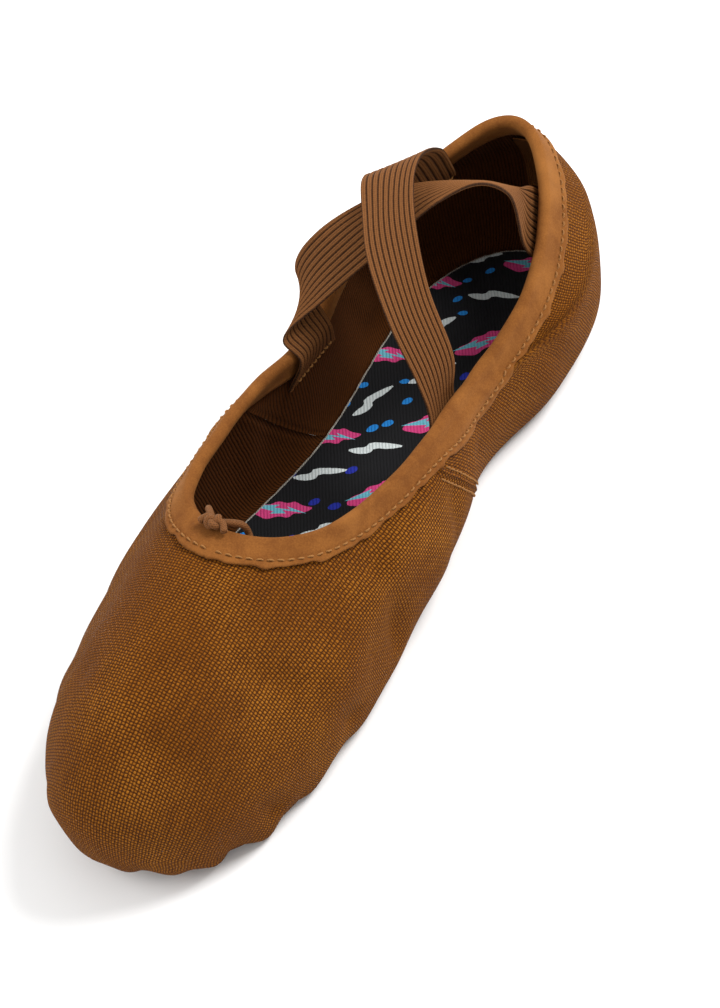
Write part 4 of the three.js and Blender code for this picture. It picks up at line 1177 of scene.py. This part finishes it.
# ---- drawstring and its knot ----
THROAT_EXIT_RIGHT, THROAT_EXIT_LEFT, LEAVE_OVER = 12, -20, 8
casing_turns = np.arange(THROAT_EXIT_RIGHT + LEAVE_OVER, 360 + THROAT_EXIT_LEFT - LEAVE_OVER, 1.5)
cord_line = np.vstack([below(THROAT_EXIT_RIGHT, ROLL, CORD_OUT)[None, :],
                       below(casing_turns, ROLL, ROLL_CENTRE),
                       below(360 + THROAT_EXIT_LEFT, ROLL, CORD_OUT)[None, :]])
drawstring = joined("drawstring_cord", [round_tube(cord_line, CORD_RADIUS, 14)], cord_braid)
bends(finished(drawstring, "cord", "drawstring"))


def rim(turn, down, out):
    turn = float(turn)
    inward = unit(skin(turn, 1.0) - skin(turn, 0.97))
    return skin(turn, 1.0) - inward * down + facing(turn, 1.0) * out


KNOT_TURN, KNOT_RADIUS = -4, 2.6
knot_centre = rim(KNOT_TURN, 1.6, BINDING_OUT + KNOT_RADIUS - 0.5)
along_rim = unit(rim(KNOT_TURN + 1, 0, 0) - rim(KNOT_TURN - 1, 0, 0))
out_of_rim = facing(float(KNOT_TURN), 1.0)
down_rim = np.cross(along_rim, out_of_rim)
knot_basis = np.stack([along_rim, down_rim, out_of_rim])


def strand(turn, way):
    points = [rim(turn - way * 2.5, 1.4, CORD_OUT - GAP), rim(turn - way * 6, -2.2, -2.6),
              rim(turn - way * 8, -2.2, 0.6), knot_centre]
    return round_tube(through(points, np.linspace(0, 1, 40)), CORD_RADIUS, 12)


def tail(way):
    points = [knot_centre, rim(KNOT_TURN + way * 3, 1, BINDING_OUT + 2.4),
              rim(KNOT_TURN + way * 5.5, 3, BINDING_OUT + 1.6)]
    return round_tube(through(points, np.linspace(0, 1, 20)), CORD_RADIUS, 12, taper=[*np.ones(18), 1.08, 0.85])


loop_angle = np.linspace(0, 2 * math.pi, 90, endpoint=False)
overhand = np.stack([np.sin(loop_angle) + 2 * np.sin(2 * loop_angle), np.cos(loop_angle) - 2 * np.cos(2 * loop_angle),
                     -np.sin(3 * loop_angle) * 1.1], -1) * (KNOT_RADIUS - CORD_RADIUS) / 3
overhand = knot_centre + overhand @ knot_basis
knot = joined("drawstring_knot_cord", [round_tube(overhand, CORD_RADIUS * 0.98, 12, closed=True),
                                       strand(THROAT_EXIT_RIGHT, 1), strand(THROAT_EXIT_LEFT, -1), tail(-1), tail(1)],
              cord_braid)
finished(knot, "cord", "drawstring_knot")
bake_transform(knot)

# ---- floor, light and camera ----
floor_material, floor_tree, floor_shader = new_material("matt_white_studio_paper", 0.95)
floor_noise = add_node(floor_tree, "ShaderNodeTexNoise", {"Scale": 4.0})
floor_tree.links.new(colour_mix(floor_tree, floor_noise.outputs["Fac"], "#f4f4f3", "#fafafa"),
                     floor_shader.inputs["Base Color"])
floor_mesh = bpy.data.meshes.new("studio_floor")
floor_shape = bmesh.new()
bmesh.ops.create_grid(floor_shape, x_segments=4, y_segments=4, size=3.0)
floor_shape.to_mesh(floor_mesh)
floor_shape.free()
floor_mesh.materials.append(floor_material)
floor = bpy.data.objects.new("studio_floor", floor_mesh)
bpy.context.collection.objects.link(floor)
floor.location.z = -0.0002

world = bpy.data.worlds.new("soft_studio_light")
world.use_nodes = True
world.node_tree.nodes.clear()
sky = add_node(world.node_tree, "ShaderNodeBackground", {"Color": linear("#ffffff"), "Strength": 0.75})
add_node(world.node_tree, "ShaderNodeOutputWorld", {"Surface": sky.outputs[0]})
bpy.context.scene.world = world


def soft_light(name, place, target, size, power):
    lamp = bpy.data.lights.new(name, "AREA")
    lamp.shape = "DISK"
    lamp.size = size
    lamp.energy = power
    made = bpy.data.objects.new(name, lamp)
    bpy.context.collection.objects.link(made)
    made.location = place
    made.rotation_euler = (Vector(target) - Vector(place)).to_track_quat("-Z", "Y").to_euler()


soft_light("key_light", (0.55, 0.75, 1.15), (0, 0, 0.03), 0.7, 22)
soft_light("fill_light", (-0.8, -0.7, 1.0), (0, 0, 0.03), 1.0, 9)

CAMERA_AROUND, CAMERA_ABOVE, CAMERA_ROLL = math.radians(39.98), math.radians(47.94), math.radians(-13.37)
CAMERA_DISTANCE, FOCAL = 0.6749, 92.35
FRAMING = (0.02826, -0.03903)                # how far the slipper sits off the middle of the view
target = Vector((0, -0.00104, 0.030))
back = Vector((math.sin(CAMERA_AROUND) * math.cos(CAMERA_ABOVE), -math.cos(CAMERA_AROUND) * math.cos(CAMERA_ABOVE),
               math.sin(CAMERA_ABOVE)))
right = Vector((math.cos(CAMERA_AROUND), math.sin(CAMERA_AROUND), 0))
up = back.cross(right)
c, s = math.cos(CAMERA_ROLL), math.sin(CAMERA_ROLL)
right, up = right * c + up * s, up * c - right * s
camera = bpy.data.cameras.new("studio_camera")
camera.lens = FOCAL
camera.sensor_width = 36
camera_object = bpy.data.objects.new("studio_camera", camera)
bpy.context.collection.objects.link(camera_object)
camera_object.matrix_world = Matrix((
    (right.x, up.x, back.x, target.x + back.x * CAMERA_DISTANCE),
    (right.y, up.y, back.y, target.y + back.y * CAMERA_DISTANCE),
    (right.z, up.z, back.z, target.z + back.z * CAMERA_DISTANCE), (0, 0, 0, 1)))
camera.shift_x, camera.shift_y = FRAMING
camera.clip_start = 0.01
bpy.context.scene.camera = camera_object
bpy.context.scene.view_settings.view_transform = "Standard"
